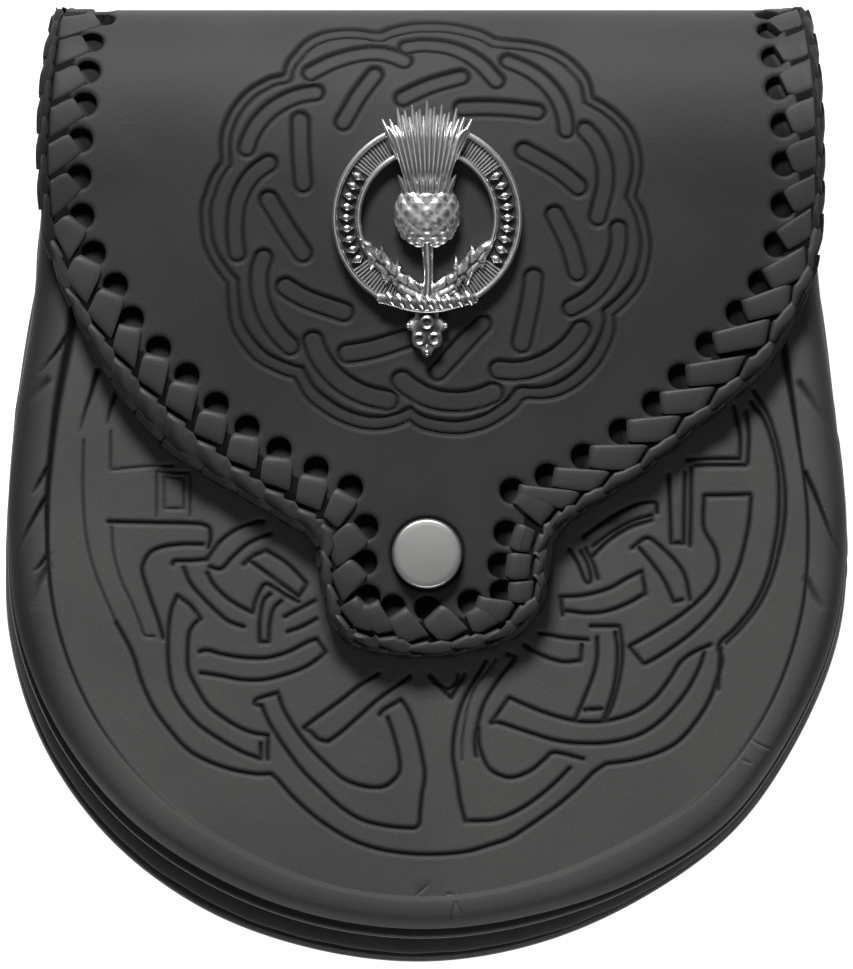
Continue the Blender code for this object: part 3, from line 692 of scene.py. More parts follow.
# the front's tooled lines, in the photograph's pixels; names such as b1Up are the sides and ends of bands
frontTooling = {
    "outerLeft": ((84, 441), (83.5, 465), (83.3, 490), (86, 533), (93.7, 568), (105.5, 598), (116, 622)),
    "outerLeftFoot": ((116, 622), (132, 652), (142, 682), (154, 708), (169, 729), (186, 748), (203, 759),
        (229, 769), (255, 774), (271, 774)),
    "frameTop": ((157, 472), (190, 472)),
    "frameLeft": ((157, 472), (157, 516)),
    "frameRight": ((190.5, 472), (190.5, 516)),
    "outerBottom": ((271, 774), (278, 780), (294, 798), (314, 816), (334, 830), (354, 841), (378, 849),
        (402, 853), (422, 854.4), (446, 854), (470, 851), (490, 845), (510, 838), (532, 824), (557, 806),
        (578, 788), (593, 773), (606, 764)),
    "outerRight": ((606, 764), (634, 760), (660, 752), (680, 740), (698, 719), (710, 699), (718, 676),
        (722, 661), (719, 645), (736, 628), (754, 605), (767, 577), (774, 548), (778, 523), (779, 497),
        (778, 472), (773, 446), (764, 421), (751, 401)),
    "outerRightTwin": ((726, 643), (741, 628), (759, 605), (772, 577), (781, 543), (785, 513), (784.5, 485),
        (779, 452), (769, 418), (754, 390)),
    "leftPanelSide": ((111, 432), (111, 470)),
    "leftPanelFoot": ((111, 470), (156, 466), (173, 465)),
    "windowLeft": ((164.6, 477.5), (164.6, 508.7)),
    "windowRight": ((184, 477.5), (184, 508.7)),
    "windowTop": ((164.6, 477.5), (184, 477.5)),
    "windowFoot": ((164.6, 508.7), (184, 508.7)),
    "leftShelf": ((108.7, 522), (156, 523), (190, 523.7), (203, 525), (209.8, 529), (210.8, 540),
        (208.7, 548)),
    "leftHook": ((204, 544.6), (182, 544.6), (162.5, 547.4), (150.6, 553), (144, 563.5), (143, 574),
        (150.6, 598), (159, 622), (163.5, 638)),
    "leftBracket": ((112, 525), (114, 553), (121.6, 581), (132.4, 604), (141, 626), (145, 635.5),
        (155, 636.6)),
    "b1Up": ((207.6, 559), (220.5, 542), (237.7, 529), (255, 521.6), (263.5, 520.5)),
    "b1Low": ((209.8, 567), (221.6, 569), (233.4, 557), (248.5, 544), (270, 533)),
    "b1Lead": ((173, 564.6), (175.4, 561.4), (190.4, 561), (207.6, 559.8)),
    "b2Low": ((184, 568), (190.4, 583), (201, 596), (216, 611), (229, 621.6), (244, 627)),
    "b2Up": ((207.6, 573), (214, 585), (227, 598), (240, 606.5), (253, 613)),
    "b3Left": ((260, 642), (260, 622), (263.5, 602), (271, 594)),
    "b3Right": ((269, 642), (270, 624), (274, 609), (282, 601)),
    "b3End": ((260, 642), (269, 642)),
    "b3Over": ((253, 612), (257, 598), (264.6, 585), (273, 587), (287, 596), (299, 602)),
    "b4Low": ((250.6, 561.4), (275, 579), (299, 596.8)),
    "b4Up": ((266.7, 550.6), (287, 563.5), (306.5, 583)),
    "b4End": ((299, 596.8), (306.5, 585)),
    "b4Start": ((244, 564.6), (252.8, 557), (263.5, 551.7)),
    "b5Up": ((285, 617), (298, 610), (315, 601)),
    "b5Low": ((288, 632), (302, 627), (317, 619)),
    "b6Up": ((200, 652), (207.6, 650.6), (225, 655), (246, 658), (268, 658), (289, 652), (306.5, 643),
        (317, 639)),
    "b6End": ((317, 639), (326, 652)),
    "b6Low": ((201, 673), (220.5, 676), (242, 680), (263.5, 680), (285, 675), (304, 668), (317, 660),
        (326, 652)),
    "b7Outer": ((177.5, 596), (171, 613), (168.5, 639), (169, 665), (173, 688), (184, 708), (199, 725),
        (220.5, 740), (242, 752), (261, 759)),
    "b7Inner": ((201, 619), (197, 622), (190, 632), (188, 649.5), (189, 671), (197, 688), (207.6, 705),
        (220.5, 716), (238, 727), (253, 733), (268, 735.5)),
    "b7Start": ((177.5, 596), (190, 605), (201, 619)),
    "b7End": ((261, 759), (261, 744)),
    "b7Twin": ((268, 735.5), (268, 759)),
    "b8Low": ((262, 706), (270, 724), (284, 746), (302, 770), (322, 790), (342, 808), (362, 820),
        (386, 826), (406, 828), (416, 827.6), (420, 822), (420, 816), (422, 796), (425, 776), (422, 756),
        (416, 730), (408, 710), (401, 700)),
    "b8Inner": ((279, 696), (284, 710), (296, 730), (310, 748), (326, 764), (342, 778), (358, 785),
        (374, 787.6), (386, 786), (396, 778), (400, 770), (399, 756), (394, 736), (388, 718)),
    "b8Start": ((262, 706), (255, 704), (258, 699), (278, 693)),
    "b8End": ((380, 715), (384, 710), (401, 700)),
    "b9Up": ((304, 728), (320, 716), (342, 700), (362, 684), (378, 673)),
    "b9Low": ((328, 742), (342, 732), (360, 716), (378, 700), (396, 686), (410, 675)),
    "b9End": ((304, 728), (312, 733), (318, 739), (328, 742)),
    "keelInner": ((430, 674), (442, 686), (450, 688), (457, 680), (458, 674)),
    "keelLeft": ((430, 675), (451, 698)),
    "keelRight": ((451, 698), (464, 674)),
    "loopLeft": ((486, 660), (474, 680), (462, 704), (455, 730), (453, 756), (457, 780), (460, 800),
        (465, 821)),
    "loopTwin": ((496, 658), (476, 686), (468, 708), (463, 736), (462, 760)),
    "loopFoot": ((465, 821), (494, 820), (517, 811), (537, 798), (555, 783), (570, 768)),
    "loopInner": ((478.5, 727), (479.7, 747), (488.7, 768), (504, 776.7), (516.7, 776.7), (532, 770),
        (545, 759), (555, 752.5), (583, 759)),
    "loopRight": ((514, 658), (498, 680), (484, 704), (478, 724), (475, 740), (476, 756)),
    "loopTop": ((507, 653), (515, 656)),
    "b10Up": ((509, 697.7), (532, 708), (557.5, 717), (583, 722), (608.5, 720.6), (634, 713), (654, 699),
        (670, 678.6), (680, 663), (693, 653), (710.5, 645)),
    "b10Low": ((491, 723), (500, 723), (527, 732), (557.5, 741), (588, 743.6), (613.6, 742), (639, 735),
        (659.5, 722), (677, 704), (690, 686), (700, 666), (704, 653)),
    "b10End": ((509, 697.7), (491, 723)),
    "b10Tie": ((720.7, 648), (718, 689)),
    "b11Left": ((597, 638), (597, 658), (593, 676), (584, 699), (575.4, 719)),
    "b11Right": ((615, 633), (617.4, 650.5), (616, 676), (611, 699), (603.4, 719)),
    "b11Twin": ((620, 627.6), (622.5, 650.5), (620, 676), (613.6, 701.5), (606, 719)),
    "b11Top": ((590.7, 626.3), (618.7, 626.3)),
    "b11Foot": ((584, 710), (601, 709)),
    "b12Up": ((539.7, 632.7), (562.6, 637.8), (588, 640)),
    "b12Low": ((524.4, 644), (542, 655.6), (562.6, 662), (580.5, 660.7)),
    "b12End": ((580.5, 660.7), (581.7, 645.4)),
    "b13Up": ((629, 646.7), (654, 632.7), (680, 616), (700, 599.5), (713, 584), (718, 569), (715.6, 551),
        (705.4, 533), (703, 520.5), (704, 497.5)),
    "b13Low": ((641.7, 662), (646.8, 663), (672, 648), (698, 627.6), (720.7, 602), (736, 574),
        (743.7, 548.5), (748.8, 523), (751, 497.5)),
    "b13Top": ((704, 496), (750, 495)),
    "b13End": ((629, 646.7), (641.7, 662)),
    "b14Left": ((668.4, 474), (670, 510), (671, 543.4)),
    "b14Right": ((685, 472), (684, 510), (683.7, 543.4)),
    "b14Twin": ((691, 467), (691, 510), (690, 546)),
    "b14Foot": ((671, 543.4), (684, 543.4)),
    "cornerShelf": ((687.6, 459.3), (739.8, 459.3)),
    "cornerShelfTwin": ((695, 465.6), (746, 465.6)),
    "cornerSide": ((733.5, 405.7), (739.8, 436), (739.8, 459)),
    "cornerSideTwin": ((746, 410.8), (748.8, 436), (747.5, 464)),
    "b15Up": ((583, 535.8), (608.5, 518), (634, 505), (654.4, 502.6), (657, 512.8)),
    "b15Low": ((651.9, 520.5), (629, 528), (608.5, 540.9), (593, 556)),
    "b15Twin": ((593, 546), (613.6, 530.7), (634, 520.5), (651.9, 515.4)),
    "b16Left": ((569, 548.5), (577.9, 563.8), (585.6, 581.7), (590.7, 580.4), (588, 566), (580.5, 551)),
    "b16Right": ((598, 579), (593, 563.8), (585.6, 548.5)),
    "b17Up": ((560, 597), (583, 595.7), (608.5, 589), (626.4, 579), (641.7, 571.5)),
    "b17Low": ((565, 611), (588, 613.5), (608.5, 611), (629, 603), (644, 594.4)),
    "b17End": ((641.7, 571.5), (645.5, 594.4)),
    "b17Start": ((561, 599.5), (562.6, 614.8)),
    "b18Left": ((639, 548.5), (652, 563.8), (664.6, 581.7), (673.5, 602)),
    "b18Top": ((631.5, 548.5), (646.8, 538.3), (659.5, 546)),
    "b18Right": ((659.5, 546), (674.8, 561), (685, 576.6), (690, 599.5)),
    "b18End": ((673.5, 602), (682, 600)),
}
# creases where the sides bulge and under the flap, also in pixels, each from its deep end
sideCreases = {
    "leftTop": ((68, 336), (60, 348), (50, 361), (40, 374)),
    "leftUpper": ((48, 381), (38, 392), (29, 405)),
    "leftMiddle": ((48.5, 468), (40, 482), (32, 496)),
    "leftLong": ((46, 499), (35, 517), (25, 537), (19, 552)),
    "leftLow": ((48.5, 555), (41, 565), (33, 573)),
    "leftLowest": ((49, 566), (40, 582), (36, 595), (34, 610)),
    "rightTop": ((800, 384), (810, 398), (821, 415), (830, 432)),
    "rightLong": ((804.5, 473), (815, 495), (827, 526), (840, 560)),
    "rightLow": ((806, 580), (815, 596), (825, 610)),
    "underFlapOuter": ((98, 370), (92, 392), (85, 414), (80, 434)),
    "underFlapInner": ((120, 382), (114, 398), (110, 413), (107, 428)),
}
softCreases = ("leftUpper", "rightTop", "rightLow", "leftLowest")
# nicks and fine cracks of the worn front, in pixels
frontNicks = {
    "nickLeft": ((416.5, 894), (422, 890), (427.5, 885)),
    "nickRight": ((447, 893.5), (452, 894), (456.5, 897.5)),
    "crackLeft": ((455, 902), (453, 910), (451.5, 918)),
    "crackRight": ((457, 902), (460, 910), (463.5, 919)),
    "scrapeUpper": ((749, 738), (760, 745), (771, 749)),
    "scrapeLower": ((743, 760), (750, 763)),
}


def closeSheet(top, topFaces, bottom, bottomFaces, loopSizes):
    # joins two skins whose loops match point for point
    count = len(top)
    faces = [tuple(f) for f in topFaces] + [tuple(count + i for i in reversed(f)) for f in bottomFaces]
    first = 0
    for size in loopSizes:
        for k in range(size):
            a, b = first + k, first + (k + 1) % size
            faces.append((a, b, count + b, count + a))
        first += size
    return np.vstack((top, bottom)), faces


tooledOffsets = (0.0, -0.3, 0.3, -0.62, 0.62, -0.98, 0.98, -1.35, 1.35, -1.8, 1.8)
tooledStep = 0.5


def flapEdge(distance, step):
    return shifted(curveThrough(flapOutline, step), distance)


# outer edge of the lacing with the flap laid flat: left side going down, round the tongue, and up
flapOutline = (
    (-68, 141), (-71, 122), (-78.0, 112), (-79.8, 100), (-81.8, 82), (-82.0, 64), (-80.7, 51.5),
    (-76.1, 39.9), (-68.1, 22.7), (-58.9, 10.3), (-51.3, 3.8), (-32.2, -7.4), (-24.6, -12.6),
    (-22.9, -20.0), (-21.2, -28.4), (-17.3, -33.4), (-11.0, -35.9), (0.5, -36.8), (11.0, -35.2),
    (19.4, -32.2), (24.4, -26.3), (26.4, -19.0), (29.2, -9.4), (44.4, 1.1), (57.9, 12.2),
    (66.3, 18.9), (73.0, 25.6), (80.5, 41.2), (82.8, 51.5), (83.1, 64), (82.8, 82), (81.2, 100),
    (79.0, 112), (72, 122), (69, 141),
)
# every stretch of lace as seen: its punched hole and where it ends at the edge's chain, in pixels,
# down the left side, round the tongue and up the right side
laceChart = (
    (103, 17, 59, 27), (91.7, 40.5, 57, 53), (88.2, 71, 53, 88), (85, 104, 49.5, 124), (81, 140, 48, 162),
    (79.5, 177.5, 51, 201), (82.5, 216.7, 60, 246), (94, 254, 75, 293), (116, 286, 99, 328),
    (132, 319.5, 124, 361), (159, 349, 150, 390), (187.5, 376, 178, 415), (216.7, 405, 208, 441),
    (247.5, 428.3, 241, 466), (279.2, 450, 275, 488), (316.4, 469.3, 308, 508), (350.7, 487.9, 330, 524),
    (366, 527, 330, 556), (365, 562, 336, 589), (368, 597, 346, 618), (368, 597, 362, 631),
    (368, 597, 385, 634), (393, 607, 416, 641), (427, 608, 456, 637), (470, 602, 488, 630),
    (470, 602, 511, 613), (502, 592, 533, 592), (500, 565, 531, 567), (506, 533, 533, 542),
    (512, 491, 550, 517), (512, 491, 576, 501), (547, 476.4, 604, 482), (583, 456.5, 641, 458),
    (620.8, 431.7, 676, 428), (654, 404, 710, 399), (680, 376.7, 740, 369), (707.5, 345, 768, 332),
    (737.5, 313.3, 790, 297), (760, 283.3, 806, 261), (775.8, 245, 812, 222), (782.5, 205.8, 816, 188),
    (783.3, 164.2, 817, 151), (782.5, 125, 816, 112), (777.5, 87.5, 813, 73), (773.3, 55.8, 808, 41),
    (769.2, 28.3, 801, 15),
)
holes = {"radius": 2.6, "inset": 9.0, "pitch": 8.0, "sides": 28, "lastV": 137.0, "rearSkew": 32,
         "rearEnd": 3.2, "rings": ((0.28, 0.13), (0.7, 0.0), (1.3, 0.13))}


def laceStretches():
    # every stretch of lace in the order of lacing: its hole and its end on the flat flap
    chart = np.array(laceChart, float)
    centres = flatFromSeen(fromPhoto(chart[:, :2]))
    ends = flatFromSeen(fromPhoto(chart[:, 2:]))
    inner = flapEdge(holes["inset"], 0.5)
    endLine = flapEdge(holes["rearEnd"], 0.25)
    half = len(inner) // 2
    skew = math.radians(holes["rearSkew"])
    rear = []
    for part, near, sign in ((inner[:half][::-1], centres[0], 1), (inner[half:], centres[-1], -1)):
        part = part[(part[:, 1] > near[1] + holes["pitch"] * 0.8) & (part[:, 1] < holes["lastV"])]
        run = runOf(part)
        goal = np.arange(0.0, run[-1], holes["pitch"])
        spots = placesAt(goal, run, part)
        along = tangents(spots) * -sign      # always the way of lacing
        out = np.column_stack((along[:, 1], -along[:, 0]))
        aims = spots + (out + along * math.tan(skew)) * (holes["inset"] - holes["rearEnd"])
        nearest = [np.argmin(np.linalg.norm(endLine - aim, axis=1)) for aim in aims]
        rear.append((spots, endLine[nearest]))
    (leftSpots, leftEnds), (rightSpots, rightEnds) = rear
    return (np.vstack((leftSpots[::-1], centres, rightSpots)),
            np.vstack((leftEnds[::-1], ends, rightEnds)))


def lacingHoles():
    # every hole once
    centres, _ = laceStretches()
    return np.array([c for i, c in enumerate(centres) if i == 0 or np.linalg.norm(c - centres[i - 1]) > 1])


def ring(centre, radius, sides, start=0.0):
    a = start + np.linspace(0, 2 * math.pi, sides, endpoint=False)
    return np.column_stack((centre[0] + radius * np.cos(a), centre[1] + radius * np.sin(a)))


flapFinish = {
    "grooveWidth": 0.82, "grooveDepth": 0.68, "lip": 0.05, "sunk": 0.36, "sheetInset": 2.0,
    "underChain": 0.5, "snapDip": 0.4, "snapDipFrom": 7.1, "snapDipTo": 8.5, "snapShadowGap": 0.6,
    "snapRings": (6.4, 7.1, 7.5, 7.9, 8.3, 8.8), "holeDip": 0.5, "holeRound": 0.6, "holeShade": 0.35,
    "shadeFrom": 3.5, "betweenShade": 1.0, "grooveInkAndShade": 0.8, "rearShade": 0.3,
}


def makeFlap():
    outer, inner, shapes = roundKnotShapes()
    centres = lacingHoles()
    look = flapFinish
    loops = [flapEdge(look["sheetInset"], 0.8)]
    loops += [ring(c, holes["radius"], holes["sides"]) for c in centres]
    extra = np.vstack([ring(c, holes["radius"] + more, holes["sides"], start)
                       for c in centres for more, start in holes["rings"]])
    closed = [curveThrough(shape, tooledStep, closed=True) for shape in shapes]
    tooled = outer + inner + [np.vstack((shape, shape[:1])) for shape in closed]
    lines = [(curveThrough(line, tooledStep), tooledOffsets) for line in tooled]
    low, high = (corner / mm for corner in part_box("snap_cap"))
    snapMiddle = ((low.x + high.x) / 2, (low.y + high.y) / 2)
    extra = np.vstack((extra, *[ring(snapMiddle, radius, 72) for radius in look["snapRings"]]))
    starts, stretchStops = laceStretches()
    lengths = np.linalg.norm(stretchStops - starts, axis=1)[:, None]
    # the line past which the flap gets painted shade between and under the laces
    shadeLine = starts + (stretchStops - starts) * look["shadeFrom"] / lengths
    extra = np.vstack((extra, *[shifted(curveThrough(stretchStops, 0.9), off) for off in (-0.2, 0.35)],
                       *[shifted(curveThrough(shadeLine, 0.9), off) for off in (-0.2, 0.2)]))
    flat, faces = triangulate(loops, lines, 2.4, 1.5, extra)
    pressed = grooveDepth(distanceTo(flat, tooled), look["grooveWidth"], look["grooveDepth"], look["lip"])
    sunk = insideLoop(flat, np.vstack(outer)) & ~insideLoop(flat, np.vstack(inner))
    for shape in closed:
        sunk |= insideLoop(flat, shape)
    lift = np.where(sunk, np.minimum(pressed, -look["sunk"]), pressed)
    tree = treeOf(centres)
    fromHole = np.array([tree.find((x, y, 0.0))[2] for x, y in flat]) - holes["radius"]
    lift -= look["holeDip"] * (1 - ease(-0.05, look["holeRound"], fromHole))
    # darker in the tooled lines: ink, and painted shade in their depth
    mask = look["grooveInkAndShade"] * np.clip(-pressed / look["grooveDepth"], 0, 1)
    # painted shade inside the lacing holes
    mask = np.maximum(mask, 1 - ease(-0.05, look["holeShade"], fromHole))
    fromSnap = np.hypot(flat[:, 0] - snapMiddle[0], flat[:, 1] - snapMiddle[1])
    dip = 1 - ease(look["snapDipFrom"], look["snapDipTo"], fromSnap)
    lift -= look["snapDip"] * dip
    # painted shadow in a ring round the snap cap
    mask = np.maximum(mask, 1 - ease(look["snapDipFrom"] + look["snapShadowGap"], look["snapDipTo"], fromSnap))
    # painted shade on the flap between and under the laces, past the shade line
    mask = np.maximum(mask, look["betweenShade"] * ~insideLoop(flat, shadeLine))
    hidden = ~insideLoop(flat, stretchStops)    # under the chain of lace
    lift -= look["underChain"] * hidden
    # painted shade under the chain of lace
    mask = np.maximum(mask, hidden)
    top = onFlap(flat[:, 0], flat[:, 1], lift)
    under, underFaces = triangulate(loops, [], 7.0, 2.0)
    bottom = onFlap(under[:, 0], under[:, 1], np.full(len(under), -flapShape["sheet"]))
    verts, allFaces = closeSheet(top, faces, bottom, underFaces, [len(loop) for loop in loops])
    # painted shade on the flap's underside
    masks = {"pressed": np.concatenate((mask, np.full(len(bottom), look["rearShade"])))}
    piece = makeMesh("leather_flap", verts, allFaces, flapLeather, 50, masks)
    return finishPiece(piece, "flap_leather", "flap")


frontFinish = {
    "grooveWidth": 0.88, "grooveDepth": 0.56, "lip": 0.045, "faintWidth": 0.6, "faint": 0.62,
    "creaseWidth": 0.52, "creaseTopWidth": 1.1, "creaseDepth": 0.85, "creaseFoot": 0.2,
    "foldWidth": 1.0, "foldEnd": 0.5, "foldDepth": 0.9, "softFold": 0.62, "softWidth": 1.4,
    "leftShade": 0.88, "leftReach": 1.1, "rightShade": 0.7, "rightReach": 0.75, "footShade": 0.5,
    "footReach": 0.42, "footFrom": 15, "footTo": 55, "nickWidth": 0.42, "nickDepth": 0.2,
    "bandRows": (0.12, 0.3, 0.6, 1.05, 1.7, 2.6, 3.8, 5.2, 6.6, 7.7),
    "creaseOffsets": (0.0, -0.3, 0.3, -0.65, 0.65, -1.0, 1.0, -1.5, 1.5),
    "nickOffsets": (0.0, -0.28, 0.28, -0.55, 0.55),
}
# tooling that is only faintly pressed
faintTooling = ("outerLeft", "leftPanelSide", "leftPanelFoot", "frameTop", "frameLeft", "frameRight",
                "windowLeft", "windowRight", "windowTop", "windowFoot", "leftBracket", "loopTwin")


def creaseLine():
    line = fromCentre(*creaseRadius)
    return line[line[:, 1] < body["mouthY"] - 0.6]


def makeFront():
    look = frontFinish
    faint = [curveThrough(fromPhoto(frontTooling[name]), tooledStep) for name in faintTooling]
    tooled = [curveThrough(fromPhoto(line), tooledStep) for name, line in frontTooling.items()
              if name not in faintTooling]
    crease = curveThrough(creaseLine(), 0.6)
    folds = [curveThrough(fromPhoto(line), 0.6) for name, line in sideCreases.items()
             if name not in softCreases]
    soft = [curveThrough(fromPhoto(sideCreases[name]), 0.6) for name in softCreases]
    nicks = [curveThrough(fromPhoto(line), 0.3) for line in frontNicks.values()]
    side = outline("edge", body["gussetTopY"], 0.8)
    side = side[side[:, 1] < body["mouthY"]]
    side[[0, -1], 1] = body["mouthY"]
    half = side[-1][0]
    across = np.linspace(half, -half, 90)[1:-1]
    loop = np.vstack((side, np.column_stack((across, np.full(len(across), body["mouthY"])))))
    angle, rimRadius = edgeRadius
    rows = []
    for inward in look["bandRows"]:
        radius = rimRadius - inward / bandWidth * (rimRadius - np.interp(angle, *creaseRadius))
        rows.append(fromCentre(angle, radius))
    rows = [row[row[:, 1] < body["mouthY"] - 0.3] for row in rows]
    lines = [(line, tooledOffsets) for line in tooled + faint]
    lines += [(line, look["creaseOffsets"]) for line in [crease] + folds + soft]
    lines += [(line, look["nickOffsets"]) for line in nicks]
    flat, faces = triangulate([loop], lines, 2.6, 1.5, np.vstack(rows), 0.08)
    groove = look["grooveWidth"], look["grooveDepth"], look["lip"]
    strong = grooveDepth(distanceTo(flat, tooled), *groove)
    weak = grooveDepth(distanceTo(flat, faint), look["faintWidth"], look["grooveDepth"] * look["faint"], 0.02)
    pressed = np.where(np.abs(strong) > np.abs(weak), strong, weak)
    below = -np.arctan2(flat[:, 1] - body["centreY"], np.abs(flat[:, 0]))
    atFoot = ease(math.radians(look["footFrom"]), math.radians(look["footTo"]), below)
    upper = np.where(flat[:, 0] < 0, ease(-30, 35, flat[:, 1]), 0.8 * ease(3, 32, flat[:, 1]))
    creaseWidth = look["creaseWidth"] + look["creaseTopWidth"] * upper
    creased = grooveDepth(distanceTo(flat, [crease]), creaseWidth, 1.0, 0.02)
    creased *= look["creaseDepth"] * (1 - atFoot) + look["creaseFoot"] * atFoot
    away, along = nearestOn(flat, folds)
    foldWidth = look["foldWidth"] * (1 - along) + look["foldEnd"] * along
    folded = grooveDepth(away, foldWidth, look["foldDepth"] * (1 - along) ** 0.5, 0.0)
    away, along = nearestOn(flat, soft)
    softly = look["softFold"] * look["foldDepth"] * (1 - along) ** 0.5
    folded = np.minimum(folded, grooveDepth(away, look["softWidth"] * look["foldWidth"], softly, 0.0))
    nicked = grooveDepth(distanceTo(flat, nicks), look["nickWidth"], look["nickDepth"], 0.08)
    drop = np.minimum(np.minimum(pressed, creased), np.minimum(folded, nicked))
    drop = np.where(drop > -0.01, np.maximum(drop, nicked), drop)
    z = frontHeight(flat)
    share, _ = polar(flat)
    z = z + drop * ease(0.0, 0.2, share)
    top = np.column_stack((flat, z))
    # darker in the tooled lines: ink, and painted shade in their depth
    mask = np.clip(-pressed / look["grooveDepth"], 0, 1)
    # painted shade in the crease round the field and in the side folds
    mask = np.maximum(mask, np.clip(-creased / (0.7 * look["creaseDepth"]), 0, 1))
    mask = np.maximum(mask, np.clip(-folded / (0.7 * look["foldDepth"]), 0, 1))
    # painted shade on the band towards the front's edge, stronger on the left
    onLeft = flat[:, 0] < 0
    shade = np.where(onLeft, look["leftShade"], look["rightShade"])
    reach = np.where(onLeft, look["leftReach"], look["rightReach"])
    mask = np.maximum(mask, shade * (1 - ease(0.0, 1.0, share / reach)) * (1 - atFoot) * (share < 1))
    # painted shade on the band's foot
    mask = np.maximum(mask, look["footShade"] * (1 - ease(0.0, look["footReach"], share)) * atFoot)
    wall = body["wall"]
    inner = shifted(loop, wall)
    inner[:, 0] = loop[:, 0] * (1 - wall / half)
    low = loop[:, 1] < body["mouthY"] - 1
    centre = np.array((0.0, body["centreY"]))
    away = loop - centre
    inner[low] = (centre + away * (1 - wall / np.linalg.norm(away, axis=1))[:, None])[low]
    inner[~low, 1] = body["mouthY"]
    under, underFaces = triangulate([inner], [], 5.0, 2.0)
    shareIn, _ = polar(under)
    startShare = wall / bandWidth
    moved = np.clip((shareIn - startShare) / (1 - startShare), 0, 1) * bandWidth
    zIn = np.interp(moved, bandCurve[:, 0], bandCurve[:, 1])
    zIn = zIn + (crownAt(under[:, 0], under[:, 1]) - wall) * ease(0.0, 0.12, moved / bandWidth)
    zIn[:len(loop)][low] = frontLow
    bottom = np.column_stack((under, zIn))
    verts, allFaces = closeSheet(top, faces, bottom, underFaces, [len(loop)])
    masks = {"pressed": np.concatenate((mask, np.zeros(len(bottom))))}
    piece = makeMesh("leather_front", verts, allFaces, frontLeather, 50, masks)
    return finishPiece(piece, "front_leather", "front_panel")


lacing = {
    "stripHalfThick": 0.5, "stripMostHalf": 3.4, "stripLeastHalf": 1.5, "stripFill": 0.86,
    "fullFill": 1.02, "holeFill": 0.96, "tongueFrom": -13.0, "tongueTo": -19.0, "outerShade": 0.96,
    "rearShade": 1.0, "leafHalfThick": 1.0, "leafMostHalf": 2.4, "leafFill": 0.94, "leafDrop": 2.5,
    "edgeDrop": 2.3, "wideChain": 5.0, "narrowChain": 1.4, "coreHalf": 0.9, "coreInset": 1.5,
    "pitchAtEnd": 7.0, "leastPitch": 4.5, "mostPitch": 11.0, "leastGap": 2.2, "endMargin": 0.5,
    "endSlant": 0.5, "mostSlant": 1.3, "toneSwing": 0.16, "wander": 0.08, "tongueLit": 0.45,
    "flushHalf": 4.1, "flushDrop": 0.3, "flushDark": 0.3, "flushChainShade": 0.8, "flushFrom": 44.0,
    "flushTo": 60.0, "flushSlant": 0.95, "foldFrom": 100.0, "foldTo": 108.0, "foldLift": 0.3,
}
# one strip from its hole to the edge: mm from the hole's middle (or back from its end, where it isn't
# above 0), lift, share of the width, thickness, how far its section slants along the edge, and painted shade
# where it dips into its hole and under the chain
stripStations = (
    (1.2, -2.2, 0.84, 0.9, 0, 1), (1.25, -1.1, 0.88, 1.0, 0, 1), (1.4, -0.35, 0.92, 1.0, 0, 0.6),
    (1.65, 0.14, 0.96, 1.0, 0, 0), (2.05, 0.42, 0.98, 1.0, 0, 0), (2.7, 0.6, 0.98, 1.0, 0.1, 0),
    (3.6, 0.64, 1.0, 1.0, 0.3, 0), (-2.4, 0.55, 1.0, 1.0, 0.6, 0), (-1.3, 0.32, 1.0, 1.0, 0.9, 0),
    (-0.5, 0.0, 0.99, 1.0, 1, 0.15), (-0.05, -0.4, 0.97, 0.9, 1, 1), (0.0, -0.9, 0.93, 0.7, 1, 1),
)
# the lace behind: mm from the hole's middle (or on from its end, in the last two), lift and width
rearStations = ((-3.3, -0.6, 1.0), (-2.4, -0.55, 1.35), (0.0, -0.5, 1.35), (2.5, -0.5, 1.0),
                (-1.0, -0.5, 1.0), (0.6, -0.1, 0.9))
# one loop of the chain: mm on from the strip's end, lift, share of the width, thickness, slant and
# painted shade; then share of the way to the next loop, its inner and outer edge as shares of the chain's
# width, the height of its inner edge, thickness and painted shade
leafStart = ((0.5, -0.6, 0.8, 0.3, 1, 1), (0.57, -0.1, 0.88, 0.45, 1, 0.9), (0.75, 0.3, 0.95, 0.6, 1, 0),
             (1.15, 0.5, 0.98, 0.75, 0.8, 0), (1.7, 0.5, 0.98, 0.9, 0.6, 0))
leafRest = ((0.42, 1.0, 0.16, 1.0, 1.0, 0), (0.6, 0.96, 0.08, 0.85, 1.0, 0),
            (0.8, 0.84, 0.08, 0.45, 0.95, 0.1), (1.02, 0.66, 0.12, -0.1, 0.85, 0.6),
            (1.2, 0.5, 0.2, -0.7, 0.6, 1))


def sectionRing(row, along, sides, rounding=(0.55, 0.85)):
    # a section with rounded edges, across a strip that runs towards along on the flat flap
    x, v, lift, halfWidth, halfThick, slant, tilt = row[:7]
    a = np.linspace(0, 2 * math.pi, sides, endpoint=False) + math.pi / sides
    wide = np.sign(np.cos(a)) * np.abs(np.cos(a)) ** rounding[0] * halfWidth
    high = np.sign(np.sin(a)) * np.abs(np.sin(a)) ** rounding[1] * halfThick
    forward = slant * wide
    wide, high = (wide * math.cos(tilt) - high * math.sin(tilt),
                  wide * math.sin(tilt) + high * math.cos(tilt))
    across = np.array((-along[1], along[0]))
    return onFlap(x + across[0] * wide + along[0] * forward,
                  v + across[1] * wide + along[1] * forward, lift + high)


def addStrip(heap, stations, sides=16, ways=None, rounding=(0.55, 0.85), outerShade=0.0):
    # stations are (x, v, lift, half width, half thickness, slant, tilt, painted shade) along the lace;
    # outerShade paints shade on each section's outer side
    stations = np.array(stations, float)
    along = tangents(stations[:, :2]) if ways is None else ways
    a = np.linspace(0, 2 * math.pi, sides, endpoint=False) + math.pi / sides
    outer = np.outer(np.ones(len(stations)) * outerShade, ease(0.35, -0.35, np.cos(a))).ravel()
    heap.addTube([sectionRing(row, along[i], sides, rounding) for i, row in enumerate(stations)],
                 np.maximum(np.repeat(stations[:, 7], sides), outer))


